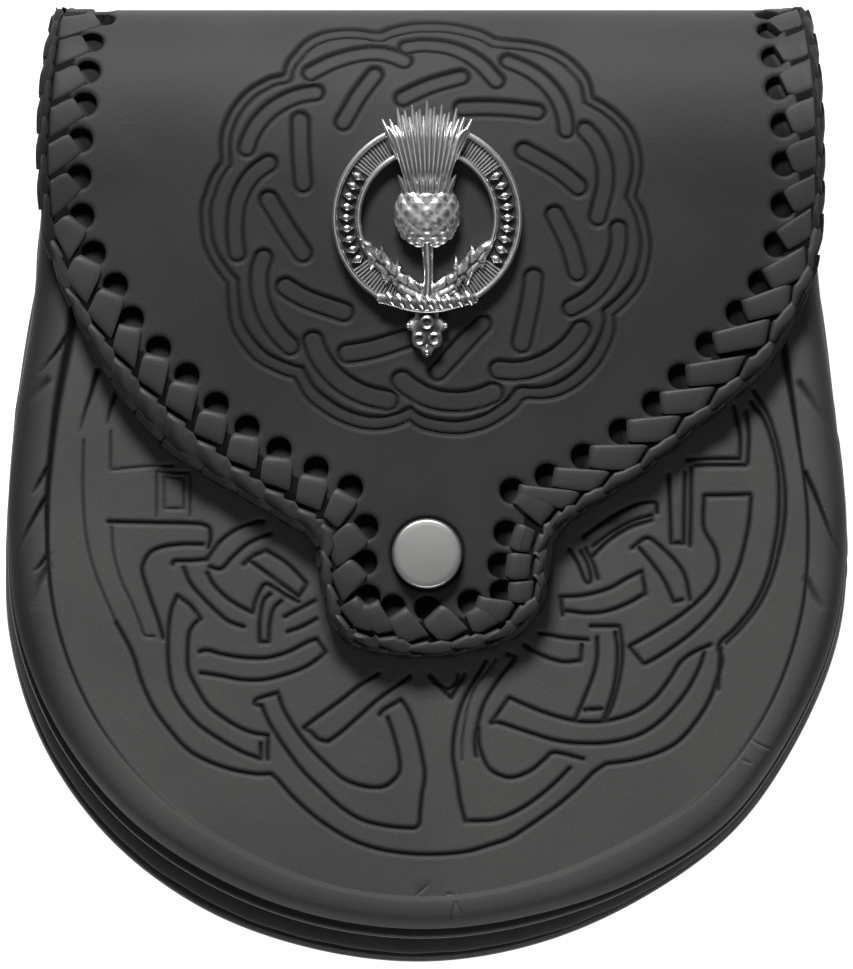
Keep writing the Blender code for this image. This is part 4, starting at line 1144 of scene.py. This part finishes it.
def makeLacing():
    look = lacing
    centres, stops = laceStretches()
    count = len(centres)
    edge = flapEdge(0.0, 0.25)
    run = runOf(edge)
    along = tangents(edge)
    inward = np.column_stack((-along[:, 1], along[:, 0]))

    def chainAt(length, inset):
        i = np.interp(length, run, np.arange(len(run)))
        low = int(min(max(i, 0), len(edge) - 2))
        share = i - low
        p = edge[low] * (1 - share) + edge[low + 1] * share
        return p + (inward[low] * (1 - share) + inward[low + 1] * share) * inset

    def halfRoom(points, n, way):
        # half the width a strip has between its neighbours
        before, after = max(n - 1, 0), min(n + 1, count - 1)
        step = (points[after] - points[before]) / (after - before)
        room = abs(step[0] * way[1] - step[1] * way[0])
        tongue = float(ease(look["tongueFrom"], look["tongueTo"], points[n][1]))
        narrow = float(ease(look["wideChain"], look["wideChain"] / 2, widths[n]))
        flush = narrowness(n)[1]
        full = max(tongue, narrow) * (1 - flush)
        fill = look["stripFill"] + (look["fullFill"] - look["stripFill"]) * full
        most = look["stripMostHalf"]
        most += (look["flushHalf"] - most) * flush
        return float(np.clip(room * fill / 2, look["stripLeastHalf"], most))

    def narrowness(n):
        # how narrow the chain is at a strip, and how flush that strip lies in the side columns
        narrow = 1 - float(np.clip((widths[n] - look["narrowChain"])
                                   / (look["wideChain"] - look["narrowChain"]), 0, 1))
        return narrow, float(ease(look["flushFrom"], look["flushTo"], stops[n][1]))

    ends, widths = [], []
    for stop in stops:    # where along the edge each strip ends, and the chain's width there
        far = np.linalg.norm(edge - stop, axis=1)
        ends.append(run[int(np.argmin(far))])
        widths.append(float(far.min()))
    for n in range(1, count):    # they never cross, also round the tongue's inner corners
        ends[n] = max(ends[n], ends[n - 1] + look["leastGap"])
    heap = Heap()
    under = flapShape["sheet"]
    for n, c in enumerate(centres):
        end = stops[n]
        edgeWay = chainAt(ends[n] + 0.5, 1.5) - chainAt(ends[n] - 0.5, 1.5)
        edgeWay = edgeWay / np.linalg.norm(edgeWay)
        length = np.linalg.norm(end - c)
        way = (end - c) / length
        across = np.array((-way[1], way[0]))
        narrow, flush = narrowness(n)
        most = look["mostSlant"]
        lean = float(np.clip(edgeWay @ way / max(edgeWay @ across, 0.3), -most, most))
        slant = lean * (look["endSlant"] + (look["flushSlant"] - look["endSlant"]) * flush)
        firstHalf, endHalf = halfRoom(centres, n, way), halfRoom(stops, n, way)
        startHalf = min((firstHalf + endHalf) / 2, holes["radius"] * look["holeFill"])
        shade = dice.uniform(0.0, look["toneSwing"]) + look["flushDark"] * flush
        wander = dice.uniform(-look["wander"], look["wander"])
        rows = []
        for at, lift, wide, thick, turned, dark in stripStations:
            distance = at if at > 0 else max(length + at, 3.7 + 0.2 * turned + 0.1 * at)
            place = c + way * distance
            share = float(ease(1.2, 2.9, distance))
            lift = lift - (0.85 * lift + look["flushDrop"]) * flush if lift > 0 else lift
            half = startHalf * (1 - share) + share * (firstHalf + (endHalf - firstHalf)
                                                      * float(np.clip(distance / length, 0, 1)))
            rows.append((*place, lift + wander * distance / length, half * wide,
                         look["stripHalfThick"] * thick, slant * turned, 0.0, max(dark, shade)))
        addStrip(heap, rows, 18, np.tile(way, (len(rows), 1)), (0.7 - 0.25 * flush, 0.95 - 0.25 * flush))
        rows = []    # the lace behind, from the hole straight to the edge, with painted shade where it lies in the hole
        for k, (at, lift, wide) in enumerate(rearStations):
            distance = at if k < len(rearStations) - 2 else length + at
            rows.append((*(c + way * distance), -under + lift, startHalf * wide, look["stripHalfThick"],
                         0.0, 0.0, 1.0 if distance < 2 else 0.0))
        addStrip(heap, rows, 10)
        gap = (ends[n + 1] - ends[n]) if n + 1 < count else look["pitchAtEnd"]
        gap = max(min(gap, look["mostPitch"]), look["leastPitch"])
        gap = min(gap, (run[-1] - ends[n] - look["endMargin"]) / 1.25)    # the last loop ends on the edge
        nextWidth = widths[min(n + 1, count - 1)]
        reach = 1 - 0.6 * narrow
        drop = look["leafDrop"] + (look["edgeDrop"] - look["leafDrop"]) * narrow
        atFold = float(ease(look["foldFrom"], look["foldTo"], stops[n][1]))
        low = 1 - (1 - look["foldLift"]) * atFold
        # painted shade on the chain in the side columns
        shade = max(dice.uniform(0.0, look["toneSwing"]), look["flushChainShade"] * flush)
        for side in (1, -1):    # the chain of loops along the edge, in front and behind
            rows, headings = [], []
            for at, lift, wide, thick, turned, dark in leafStart:
                rise = lift * low if side > 0 else -under - lift * 0.7
                half = min(endHalf, look["leafMostHalf"]) * wide * look["leafFill"]
                rows.append((*(end + way * at * reach), rise, half, look["leafHalfThick"] * thick * low,
                             slant * turned, side * (0.06 + 0.3 * narrow),
                             max(dark, shade, look["rearShade"] * (side < 0))))
                headings.append(way)
            for share, innerShare, outerShare, top, thick, dark in leafRest:
                width = max(widths[n] * (1 - share) + nextWidth * min(share, 1.0), look["narrowChain"])
                across = width * (innerShare - outerShare)
                middle = width * (innerShare + outerShare) / 2
                place = chainAt(ends[n] + gap * share, middle)
                ahead = chainAt(ends[n] + gap * share + 0.5, middle) - place
                blend = float(ease(0.1, 0.7, share))
                ahead = way * (1 - blend) + ahead / np.linalg.norm(ahead) * blend
                rise = top * low - drop / 2 if side > 0 else -under - top * 0.7 + drop / 2
                rows.append((*place, rise, math.hypot(across, drop) / 2, look["leafHalfThick"] * thick * low,
                             slant * 0.3 * (1 - blend), side * math.atan2(drop, across),
                             max(dark, shade, look["rearShade"] * (side < 0))))
                headings.append(ahead / np.linalg.norm(ahead))
            # painted shade on the loops' outer halves, less on the tongue
            tongue = float(ease(look["tongueFrom"], look["tongueTo"] * 1.4, stops[n][1]))
            outerShade = look["outerShade"] * (1 - look["tongueLit"] * tongue)
            shaded = [0.0] * len(leafStart) + [outerShade] * len(leafRest)
            shaded[len(leafStart) - 1] = outerShade / 2
            addStrip(heap, rows, 16, headings, (0.95, 1.0), shaded)
    # the core under the chain, painted in full shade
    core = []
    for length in np.arange(0.5, run[-1], 1.6):
        place = chainAt(length, look["coreInset"])
        core.append((*place, -under / 2, look["coreHalf"], 1.5, 0.0, 0.0, 1.0))
    addStrip(heap, core, 8)
    piece = heap.build("edge_lace", laceLeather, 60, "pressed")
    return finishPiece(piece, "lace", "edge_lacing")


# the gusset from back to front: share from the front's edge to the back outline, inset, height
gussetRows = ((1.0, 2.2, rimTop + 0.3), (0.72, 0.4, 10.0), (0.72, 0.0, 14.0), (0.45, 0.0, 17.5),
              (0.0, 0.2, weltLow - 0.3))
gussetLook = {"rows": 26, "step": 1.1, "ripple": 0.14, "foldWidth": 2.2, "foldDepth": 0.9}


def bothOutlines(topY, step):
    # the front's edge and the back's outline, with the same number of points
    front, back = outline("edge", topY, 0.3), outline("back", topY, 0.3)
    count = int(runOf(front)[-1] / step)
    made = []
    for line in (front, back):
        run = runOf(line)
        goal = np.linspace(0, run[-1], count)
        made.append(placesAt(goal, run, line))
    return made


def ripples(lengths, rows, size):
    # soft uneven bulges along a strip, the same each run
    made = np.zeros((rows, len(lengths)))
    for wave in range(9):
        period = dice.uniform(9, 34)
        slant = dice.uniform(-0.9, 0.9)
        start = dice.uniform(0, 6.28)
        for i in range(rows):
            made[i] += np.sin(lengths / period * 6.28 + start + slant * i / rows * 6.28)
    return made / 9 * size * 2.0


def makeGusset():
    look = gussetLook
    front, back = bothOutlines(body["gussetTopY"], look["step"])
    run = runOf(front)
    sections = []
    for share, inset, z in gussetRows:
        line = shifted(front * (1 - share) + back * share, inset)
        sections.append(np.column_stack((line, np.full(len(line), z))))
    sections = np.array(sections)
    folds = [curveThrough(fromPhoto(line), 0.4) for line in sideCreases.values()]
    tree = treeOf(np.vstack(folds))
    stations = []
    wave = ripples(run, look["rows"], look["ripple"])
    across = tangents((front + back) / 2)
    outward = np.column_stack((across[:, 1], -across[:, 0]))
    for k in range(len(front)):
        profile = curveThrough(sections[:, k], 0.2)
        goal = np.linspace(0, len(profile) - 1, look["rows"])
        outer = placesAt(goal, np.arange(len(profile)), profile)
        middle = np.sin(np.linspace(0, math.pi, look["rows"])) ** 0.6
        push = wave[:, k] * middle
        for i in range(look["rows"]):
            away = tree.find((outer[i, 0], outer[i, 1], 0.0))[2]
            push[i] += float(grooveDepth(away, look["foldWidth"], look["foldDepth"], 0.1)) * middle[i]
        outer[:, :2] += outward[k] * push[:, None]
        inner = outer[::-3].copy()
        inner[:, :2] -= outward[k] * body["gussetWall"]
        stations.append(np.vstack((outer, inner)))
    heap = Heap()
    heap.addTube(stations)
    piece = heap.build("leather_gusset", shadedBodyLeather, 60)
    return finishPiece(piece, "body_leather", "gusset")


def makeWelt():
    front, back = bothOutlines(body["gussetTopY"], 1.1)
    inner = shifted(front, 2.2)
    outer = front * 0.72 + back * 0.28
    middle, half = (weltLow + weltHigh) / 2, (weltHigh - weltLow) / 2
    a = np.linspace(0, 2 * math.pi, 14, endpoint=False)
    wide = 0.5 + 0.5 * np.sign(np.cos(a)) * np.abs(np.cos(a)) ** 0.7
    high = middle + half * np.sign(np.sin(a)) * np.abs(np.sin(a)) ** 0.7
    heap = Heap()
    rings = []
    for p, q in zip(inner, outer):
        plan = p[None] * (1 - wide[:, None]) + q[None] * wide[:, None]
        rings.append(np.column_stack((plan, high)))
    heap.addTube(rings)
    piece = heap.build("leather_welt", edgeLeather, 60)
    return finishPiece(piece, "edge_leather", "front_welt")


rimLook = {"corner": 1.7, "stitchInset": 3.6, "stitch": 3.2, "gap": 0.9, "thread": 0.36, "groove": 0.55,
           "rearSeam": 50.0, "rearSeamV": 136.5}


def makeRim():
    look = rimLook
    line = outline("back", body["rimTopY"], 1.2)
    width, corner = body["rimWidth"], look["corner"]
    section = [(-width, 0.3), (-width, rimTop - 0.3), (-width + 0.3, rimTop)]
    a = np.linspace(math.pi / 2, 0, 6)
    section += [(-corner + corner * math.cos(t), rimTop - corner + corner * math.sin(t)) for t in a]
    section += [(-corner + corner * math.cos(t), corner + corner * math.sin(t)) for t in -a[::-1]]
    inset = look["stitchInset"]
    section += [(-inset + 0.75, 0.0), (-inset + 0.3, look["groove"]), (-inset - 0.3, look["groove"]),
                (-inset - 0.75, 0.0), (-width + 0.3, 0.0)]
    along = tangents(line)
    outward = np.column_stack((along[:, 1], -along[:, 0]))
    rings = [np.array([(*(p + out * wide), z) for wide, z in section])
             for p, out in zip(line, outward)]
    heap = Heap()
    heap.addTube(rings)
    piece = finishPiece(heap.build("leather_rim", edgeLeather, 45), "edge_leather", "back_rim")
    thread = Heap()
    seam = shifted(outline("back", body["rimTopY"] - 2, 0.4), inset)
    addStitches(thread, seam, lambda plan, rise: np.column_stack((plan, rise)))
    across = np.linspace(-look["rearSeam"], look["rearSeam"], 200)
    seam = np.column_stack((across, np.full(200, look["rearSeamV"])))
    addStitches(thread, seam, lambda plan, rise: onFlap(plan[:, 0], plan[:, 1], 0.4 - rise))
    finishPiece(thread.build("rim_stitches", laceLeather, 60), "lace")
    return piece


def addStitches(heap, seam, place):
    # a row of stitches along a flat seam; place puts flat points and depths into space
    look = rimLook
    run = runOf(seam)
    around = np.linspace(0, 2 * math.pi, 7)[:-1]
    for start in np.arange(2.0, run[-1] - look["stitch"], look["stitch"] + look["gap"]):
        rings = []
        for share in np.linspace(0, 1, 7):
            at = start + look["stitch"] * share
            p, ahead = placesAt([at, at + 0.2], run, seam)
            way = ahead - p
            side = np.array((-way[1], way[0])) / np.linalg.norm(way)
            rise = look["thread"] + 0.35 * (1 - math.sin(math.pi * share) ** 0.5)
            plan = p + np.cos(around)[:, None] * side * look["thread"]
            rings.append(place(plan, rise + look["thread"] * np.sin(around)))
        heap.addTube(rings)


badgeLook = {
    "ringOuter": 20.0, "ringInner": 13.8, "rim": 1.15, "floor": 1.3, "height": 2.4, "hatch": 150,
    "tilt": 2.2, "pellets": 9, "pelletFan": 62, "middleY": 55.9, "seat": 0.0008,
}


metalLook = {
    "grimeScale": 900.0, "grime": 0.22, "pewter": ((0.6, 0.6, 0.6), (0.74, 0.74, 0.74)),
    "recess": (0.012, 0.012, 0.012), "recessMetal": 0.85, "pewterRough": 0.2, "pewterSwing": 0.16,
    "recessRough": 0.3, "castScale": 1500.0, "castBump": 0.25, "bumpDepth": 0.0001,
    "nickel": ((0.5, 0.5, 0.49), (0.62, 0.61, 0.59)), "nickelRough": 0.36, "nickelSwing": 0.12,
    "scuffRough": 0.2, "brushScale": (300.0, 9000.0, 300.0), "brushBump": 0.12,
}


def pewterMetal():
    # cast pewter, bright where it was rubbed and near black in its recesses, as patina and painted shade
    look = metalLook
    material, tree, shader = newMaterial("pewter")
    worn = useGroup(tree, handling, {"Scuffs": 0.6, "Rubbing": 1.0})
    place = objectPlace(tree)
    grime = ramp(tree, noiseAt(tree, place, look["grimeScale"], 4.0, 0.6), 0.35, 0.75)
    dark = maths(tree, "MULTIPLY_ADD", grime, look["grime"], inkPatinaAndShadeMask(tree), clamp=True)
    dark = maths(tree, "SUBTRACT", dark, worn["Rubbed"], clamp=True)
    tone = blendColour(tree, ramp(tree, worn["Polish"], 0.3, 0.7), *look["pewter"])
    rough = maths(tree, "MULTIPLY_ADD", worn["Polish"], look["pewterSwing"], look["pewterRough"])
    cast = noiseAt(tree, place, look["castScale"], 3.0, 0.6)
    feed(tree, shader, {
        "Base Color": blendColour(tree, dark, tone, look["recess"]),
        "Metallic": maths(tree, "MULTIPLY_ADD", dark, -look["recessMetal"], 1.0),
        "Roughness": maths(tree, "MULTIPLY_ADD", dark, look["recessRough"], rough),
        "Normal": bumpFrom(tree, cast, look["castBump"], look["bumpDepth"])})
    return material


def nickelPlate():
    # satin nickel with brushed marks
    look = metalLook
    material, tree, shader = newMaterial("nickel")
    worn = useGroup(tree, handling, {"Scuffs": 1.0, "Rubbing": 0.2})
    rough = maths(tree, "MULTIPLY_ADD", worn["Polish"], look["nickelSwing"], look["nickelRough"])
    along = addNode(tree, "ShaderNodeMapping", {"Vector": objectPlace(tree), "Scale": look["brushScale"]})
    brushed = noiseAt(tree, along.outputs[0], 1.0, 3.0)
    feed(tree, shader, {
        "Base Color": blendColour(tree, worn["Polish"], *look["nickel"]), "Metallic": 1.0,
        "Roughness": maths(tree, "MULTIPLY_ADD", worn["Scuff"], look["scuffRough"], rough),
        "Normal": bumpFrom(tree, brushed, look["brushBump"], look["bumpDepth"])})
    return material


pewter, nickel = pewterMetal(), nickelPlate()


def turn(profile, segments):
    # rows of a profile of (radius, height) turned about the middle
    a = np.linspace(0, 2 * math.pi, segments, endpoint=False)
    return [np.column_stack((r * np.cos(a), r * np.sin(a), np.full(segments, z))) for r, z in profile]


def castBar(points, radii, lift, flatness=0.8, sides=10):
    # a tapering bar along 3D points; radii and lifts are one for each point
    line = curveThrough(np.column_stack((points, radii, lift)), 0.35)
    along = tangents(line[:, :2])
    a = np.linspace(0, 2 * math.pi, sides, endpoint=False)
    rings = []
    for row, way in zip(line, along):
        across = np.array((-way[1], way[0]))
        wide = np.cos(a) * row[2]
        plan = row[:2] + across * wide[:, None]
        rings.append(np.column_stack((plan, row[3] + np.sin(a) * row[2] * flatness)))
    return rings


def paintedShadeUnder(rings):
    # painted shade on a bar's flanks and underside
    a = np.linspace(0, 2 * math.pi, len(rings[0]), endpoint=False)
    return np.tile(ease(0.75, 0.1, np.sin(a)), len(rings))


def castRelief(loop, base, top, shoulder, veins=(), veinDepth=0.3, step=0.9):
    # a flat-backed cast shape with a rounded face and sunk veins, dark as patina and painted shade
    loop = np.array(loop, float)
    lines = [(curveThrough(vein, 0.3), (0.0, -0.22, 0.22)) for vein in veins]
    flat, faces = triangulate([loop], lines, step, step * 0.6)
    rim = np.vstack((loop, loop[:1]))
    away = distanceTo(flat, [rim[i:i + 2] for i in range(len(loop))])
    rise = np.sqrt(np.clip(1 - (1 - np.clip(away / shoulder, 0, 1)) ** 2, 0, 1))
    z = base + (top - base) * (0.45 + 0.55 * rise)
    mask = np.zeros(len(flat))
    if veins:
        sunk = 1 - ease(0.0, 0.42, distanceTo(flat, veins))
        z -= sunk * veinDepth
        mask = sunk
    under, underFaces = triangulate([loop], [], 3.0, 1.0)
    verts, allFaces = closeSheet(np.column_stack((flat, z)), faces,
                                 np.column_stack((under, np.full(len(under), base))),
                                 underFaces, [len(loop)])
    return verts, allFaces, np.concatenate((mask, np.zeros(len(under))))


def badgeRing(heap):
    look = badgeLook
    outer, inner, rim = look["ringOuter"], look["ringInner"], look["rim"]
    high, low = look["height"], look["floor"]
    profile = [(inner, 0.0), (inner, high - 0.35), (inner + 0.15, high - 0.1), (inner + 0.4, high),
               (inner + rim - 0.4, high), (inner + rim - 0.15, high - 0.1), (inner + rim, high - 0.4),
               (inner + rim + 0.08, low)]
    middle = [(inner + rim + 0.08 + k * (outer - inner - 2 * rim - 0.16) / 4, low) for k in (1, 2, 3)]
    mirrored = [(outer + inner - r, z) for r, z in reversed(profile)]
    segments = look["hatch"] * 4
    rows = turn(profile + middle + mirrored, segments)
    a = np.linspace(0, 360, segments, endpoint=False)
    fan = look["pelletFan"] / 2
    plain = (np.abs(a - 180) < fan + 4) | (a < fan + 4) | (a > 356 - fan)
    ridge = np.where(plain, 0.0, 0.5 * np.abs(((a / 360 * look["hatch"]) % 1) * 2 - 1))
    first, last = len(profile) - 1, len(profile) + len(middle)
    masks = []
    for i, row in enumerate(rows):
        onFloor = first <= i <= last
        if onFloor:
            row[:, 2] += ridge
        # the hatched floor dark between its ridges: patina and painted shade
        masks.append(1.0 - ridge * 1.6 if onFloor else np.zeros(segments))
    heap.addMesh(np.vstack(rows), gridFaces(len(rows), segments, True), np.concatenate(masks))
    middleR = (outer + inner) / 2
    for side in (0, 180):    # plain lozenge studs on both sides
        for n in range(look["pellets"]):
            angle = math.radians(side - fan + 2 * fan * n / (look["pellets"] - 1))
            out = np.array((math.cos(angle), math.sin(angle)))
            way = np.array((-out[1], out[0]))
            corners = [out * (middleR + 1.55), out * middleR + way * 0.95, out * (middleR - 1.55),
                       out * middleR - way * 0.95]
            rings = []
            for share, z in ((1.0, low - 0.2), (1.0, high - 0.45), (0.7, high - 0.05), (0.25, high + 0.08)):
                rings.append(np.array([(*(out * middleR + (c - out * middleR) * share), z)
                                       for c in corners]))
            heap.addTube(rings)


def thistle(heap):
    # stem, spiny leaves, a bulb of pointed scales and a flared tuft
    heap.addTube(castBar([(0, -17.5), (0.3, -12), (0, -5)], [1.3, 1.0, 1.4], [1.8, 2.2, 2.4]))
    for side in (-1, 1):
        leaf = [(0.6, -17.6), (3.0, -17.5), (5.0, -16.8), (6.4, -15.6), (7.6, -12.9), (8.6, -14.6),
                (9.4, -12.6), (10.0, -9.6), (11.9, -11.0), (12.6, -8.2), (14.7, -3.9), (11.2, -5.2),
                (10.0, -7.0), (9.3, -4.9), (8.2, -8.0), (6.6, -9.9), (6.0, -7.8), (5.2, -11.2),
                (3.4, -12.0), (0.8, -14.2)]
        loop = [(side * x, y) for x, y in (leaf if side > 0 else leaf[::-1])]
        rib = [(side * x, y) for x, y in ((1.2, -16.0), (5.0, -14.0), (8.8, -10.6), (12.4, -6.6))]
        veins = [rib]
        for a, b in (((4.0, -14.6), (4.0, -12.4)), ((5.6, -13.6), (6.9, -15.2)), ((6.4, -13.0), (6.3, -10.2)),
                     ((8.0, -11.4), (9.0, -13.4)), ((8.6, -10.8), (9.0, -7.4)), ((10.2, -9.2), (11.6, -9.6))):
            veins.append([(side * a[0], a[1]), (side * b[0], b[1])])
        heap.addMesh(*castRelief(loop, 0.3, 3.1, 1.3, veins, 0.45, 0.7))
    segments, rows = 80, 44
    rings, masks = [], []
    for i in range(rows):
        up = math.pi * (i + 0.5) / rows
        ringPoints, ringMask = [], []
        for k in range(segments):
            around = 2 * math.pi * k / segments
            scale = abs(math.sin(around * 5 + up * 6.0) * math.sin(around * 5 - up * 6.0)) ** 0.5
            swell = 1.0 + 0.11 * (scale - 0.5)
            radius = math.sin(up) ** 0.85
            x = 6.8 * radius * math.cos(around) * swell
            z = 2.0 + 3.2 * radius * math.sin(around) * swell
            ringPoints.append((x, 0.9 - 6.9 * math.cos(up) * swell, max(z, 0.2)))
            # dark between the scales: patina and painted shade
            ringMask.append(max(0.0, 1 - scale * 1.6))
        rings.append(np.array(ringPoints))
        masks.append(ringMask)
    heap.addTube(rings, np.concatenate(masks))
    for n in range(9):    # pointed scales round the top of the bulb
        x = -4.6 + 9.2 * n / 8
        heap.addTube(castBar([(x * 0.95, 5.2), (x * 1.12, 7.2), (x * 1.32, 8.9)], [0.75, 0.65, 0.12],
                             [4.6 - abs(x) * 0.3, 4.9 - abs(x) * 0.3, 5.2 - abs(x) * 0.25]))
    for layer, (count, spread, tall, high) in enumerate(((13, 9.4, 0.0, 3.0), (12, 8.2, -1.6, 3.9))):
        for n in range(count):    # the tuft's strands
            share = 2 * n / (count - 1) - 1
            length = (1.0, 0.93, 1.03, 0.96)[n % 4]
            tipX = spread * share
            tipY = 7.0 + (17.0 + tall - 3.4 * share * share) * length
            points = [(3.6 * share, 6.4), (4.9 * share, 11.0), (tipX * 0.8, 16.5), (tipX, tipY)]
            strand = castBar(points, [0.7, 0.8, 0.75, 0.2], [high - 0.3, high + 0.3, high + 0.2, high - 0.3])
            heap.addTube(strand, paintedShadeUnder(strand))


def ropeAndTip(heap):
    # the twisted bar below the ring's middle, and the strap's end with its eyelet and scrolls
    bar = castBar([(-10.4, -16.6), (0, -18.2), (10.6, -16.6)], [0.9, 1.2, 0.9], [2.2, 2.3, 2.2])
    # the bar under the twists, painted in full shade
    heap.addTube(bar, 1.0)
    heap.addTube(castBar([(-10.2, -17.6), (0, -19.6), (10.4, -17.6)], [0.3, 0.42, 0.3], [2.2, 2.4, 2.2]))
    for n in range(9):
        x = -7.6 + 2.05 * n
        y = -17.8 + 1.2 * (x / 10) ** 2
        twist = castBar([(x - 0.8, y + 1.35), (x, y), (x + 0.8, y - 1.35)], [0.55, 0.72, 0.55],
                        [2.7, 3.3, 2.7])
        heap.addTube(twist, paintedShadeUnder(twist))
    tip = [(2.5, -18.4), (2.5, -20.8), (3.4, -21.2), (4.4, -22.2), (4.2, -23.3), (3.1, -23.9), (3.3, -25.6),
           (2.7, -27.0), (1.5, -27.6), (0.9, -28.7), (0.0, -29.2)]
    tip = tip + [(-x, y) for x, y in reversed(tip[:-1])]
    verts, faces, _ = castRelief(tip[::-1], 0.2, 1.6, 0.8)
    rim = np.array(tip + tip[:1])
    fromRim = distanceTo(verts[:, :2], [rim[i:i + 2] for i in range(len(tip))])
    heap.addMesh(verts, faces, ease(0.25, 0.6, fromRim))
    for x, y, radius, wire in ((0, -21.9, 1.15, 0.4), (-1.6, -25.3, 1.05, 0.38), (1.6, -25.3, 1.05, 0.38)):
        a = np.linspace(0, 2 * math.pi, 24, endpoint=False)
        b = np.linspace(0, 2 * math.pi, 8, endpoint=False)
        rings = [np.column_stack((x + (radius + wire * np.cos(b)) * math.cos(t),
                                  y + (radius + wire * np.cos(b)) * math.sin(t),
                                  1.75 + wire * np.sin(b))) for t in a]
        heap.addMesh(np.vstack(rings), gridFaces(24, 8, True))
    for x, y, radius in ((-3.9, -22.6, 0.6), (3.9, -22.6, 0.6), (0, -28.3, 0.7), (0, -26.9, 0.4)):
        profile = [(radius * math.cos(t), 1.5 + radius * math.sin(t)) for t in (0.0, 0.5, 1.0, 1.45)]
        rows = [row + (x, y, 0) for row in turn([(radius, 1.0)] + profile, 12)]
        heap.addTube(rows)


def makeBadge():
    heap = Heap()
    badgeRing(heap)
    thistle(heap)
    ropeAndTip(heap)
    low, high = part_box("badge")
    seat = (low.z + badgeLook["seat"]) / mm
    lean = math.radians(badgeLook["tilt"])
    for verts in heap.verts:
        y, z = verts[:, 1].copy(), verts[:, 2].copy()
        verts[:, 0] += (low.x + high.x) / 2 / mm
        verts[:, 1] = badgeLook["middleY"] + y * math.cos(lean) + z * math.sin(lean)
        verts[:, 2] = seat - y * math.sin(lean) + z * math.cos(lean)
    piece = heap.build("thistle_badge", pewter, 45, "pressed")
    return finishPiece(piece, "pewter", "badge")


snapLook = {"radius": 7.35, "shoulder": 0.6, "faceRise": 0.22}


def makeSnap():
    low, high = (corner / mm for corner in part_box("snap_cap"))
    radius, height = snapLook["radius"], high.z - low.z
    profile = [(0.02, 0.0), (radius - 0.7, 0.0), (radius - 0.15, 0.15), (radius, 0.5), (radius, 1.0)]
    shoulder, rise = snapLook["shoulder"], snapLook["faceRise"]
    top = height - rise
    for k in range(1, 7):
        t = k / 6 * math.pi / 2
        profile.append((radius - shoulder + shoulder * math.cos(t), 1.0 + (top - 1.0) * math.sin(t)))
    for k in range(1, 7):
        share = k / 6
        profile.append(((radius - shoulder) * (1 - share) + 0.02, top + rise * math.sin(share * math.pi / 2)))
    rows = [row + ((low.x + high.x) / 2, (low.y + high.y) / 2, low.z) for row in turn(profile, 64)]
    heap = Heap()
    heap.addTube(rows)
    return finishPiece(heap.build("snap_dome", nickel, 50), "nickel", "snap_cap")


studio = {
    "distance": 5.0, "frameHeight": 0.2035, "cameraShift": (-0.00021, 0.0001), "aimHeight": 0.03,
    "floorSize": 40, "floor": (0.3, 0.3, 0.3), "floorSwing": 1.02, "floorGlow": 0.98,
    "sky": (0.9, 0.92, 0.95, 1.0), "skyLight": 0.05,
    "lights": (("key", (-0.25, 2.0, 1.3), (0.9, 0.5), 122.0),
               ("low", (0.05, -1.5, 0.7), (1.2, 0.3), 9.0),
               ("top", (0.0, 0.1, 1.5), (0.5, 0.5), 0.7)),
}


def makeStudio():
    look = studio
    bpy.ops.mesh.primitive_plane_add(size=look["floorSize"])
    floor = bpy.context.object
    floor.name = "studio_floor"
    material, tree, shader = newMaterial("paleFloor")
    tone = noiseAt(tree, objectPlace(tree), 3.0, 2.0)
    lighter = tuple(c * look["floorSwing"] for c in look["floor"])
    feed(tree, shader, {"Base Color": blendColour(tree, tone, look["floor"], lighter), "Roughness": 0.8,
                        "Emission Color": (1.0, 1.0, 1.0, 1.0), "Emission Strength": look["floorGlow"]})
    floor.data.materials.append(material)
    data = bpy.data.cameras.new("camera")
    data.sensor_width = 36.0
    data.lens = data.sensor_width * look["distance"] / look["frameHeight"]
    data.clip_end = 50.0
    camera = bpy.data.objects.new("camera", data)
    camera.location = (*look["cameraShift"], look["distance"] + look["aimHeight"])
    scene = bpy.context.scene
    scene.collection.objects.link(camera)
    bpy.context.scene.camera = camera
    scene.view_settings.view_transform = "Standard"
    scene.world = bpy.data.worlds.new("studio")
    scene.world.use_nodes = True
    sky = scene.world.node_tree
    feed(sky, sky.nodes["Background"], {0: look["sky"], 1: look["skyLight"]})
    for name, place, size, power in look["lights"]:
        light = bpy.data.lights.new(name, "AREA")
        light.shape = "RECTANGLE"
        light.size, light.size_y = size
        light.energy = power
        lamp = bpy.data.objects.new(name, light)
        lamp.location = place
        aim = Vector((0, 0, look["aimHeight"])) - Vector(place)
        lamp.rotation_euler = aim.to_track_quat("-Z", "Y").to_euler()
        lamp.visible_camera = False
        scene.collection.objects.link(lamp)
    print("made the studio")


loopSoftening = {"width": 0.4, "segments": 2}


def finishKeptNodes():
    # better materials for the nodes that stay, and slightly rounded edges on the strap loops
    kept = {"back_panel": shadedBodyLeather, "back_loop_left": shadedBodyLeather, "back_loop_right": shadedBodyLeather,
            "snap_stud": nickel}
    for name, material in kept.items():
        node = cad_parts[name]
        node.data.materials.clear()
        node.data.materials.append(material)
        if "loop" in name:
            softened = node.modifiers.new("softened", "BEVEL")
            softened.width, softened.segments = loopSoftening["width"] * mm, loopSoftening["segments"]
    print("finished", len(kept), "kept nodes")


finishKeptNodes()
for make in (makeFlap, makeFront, makeLacing, makeGusset, makeWelt, makeRim, makeBadge, makeSnap, makeStudio):
    make()
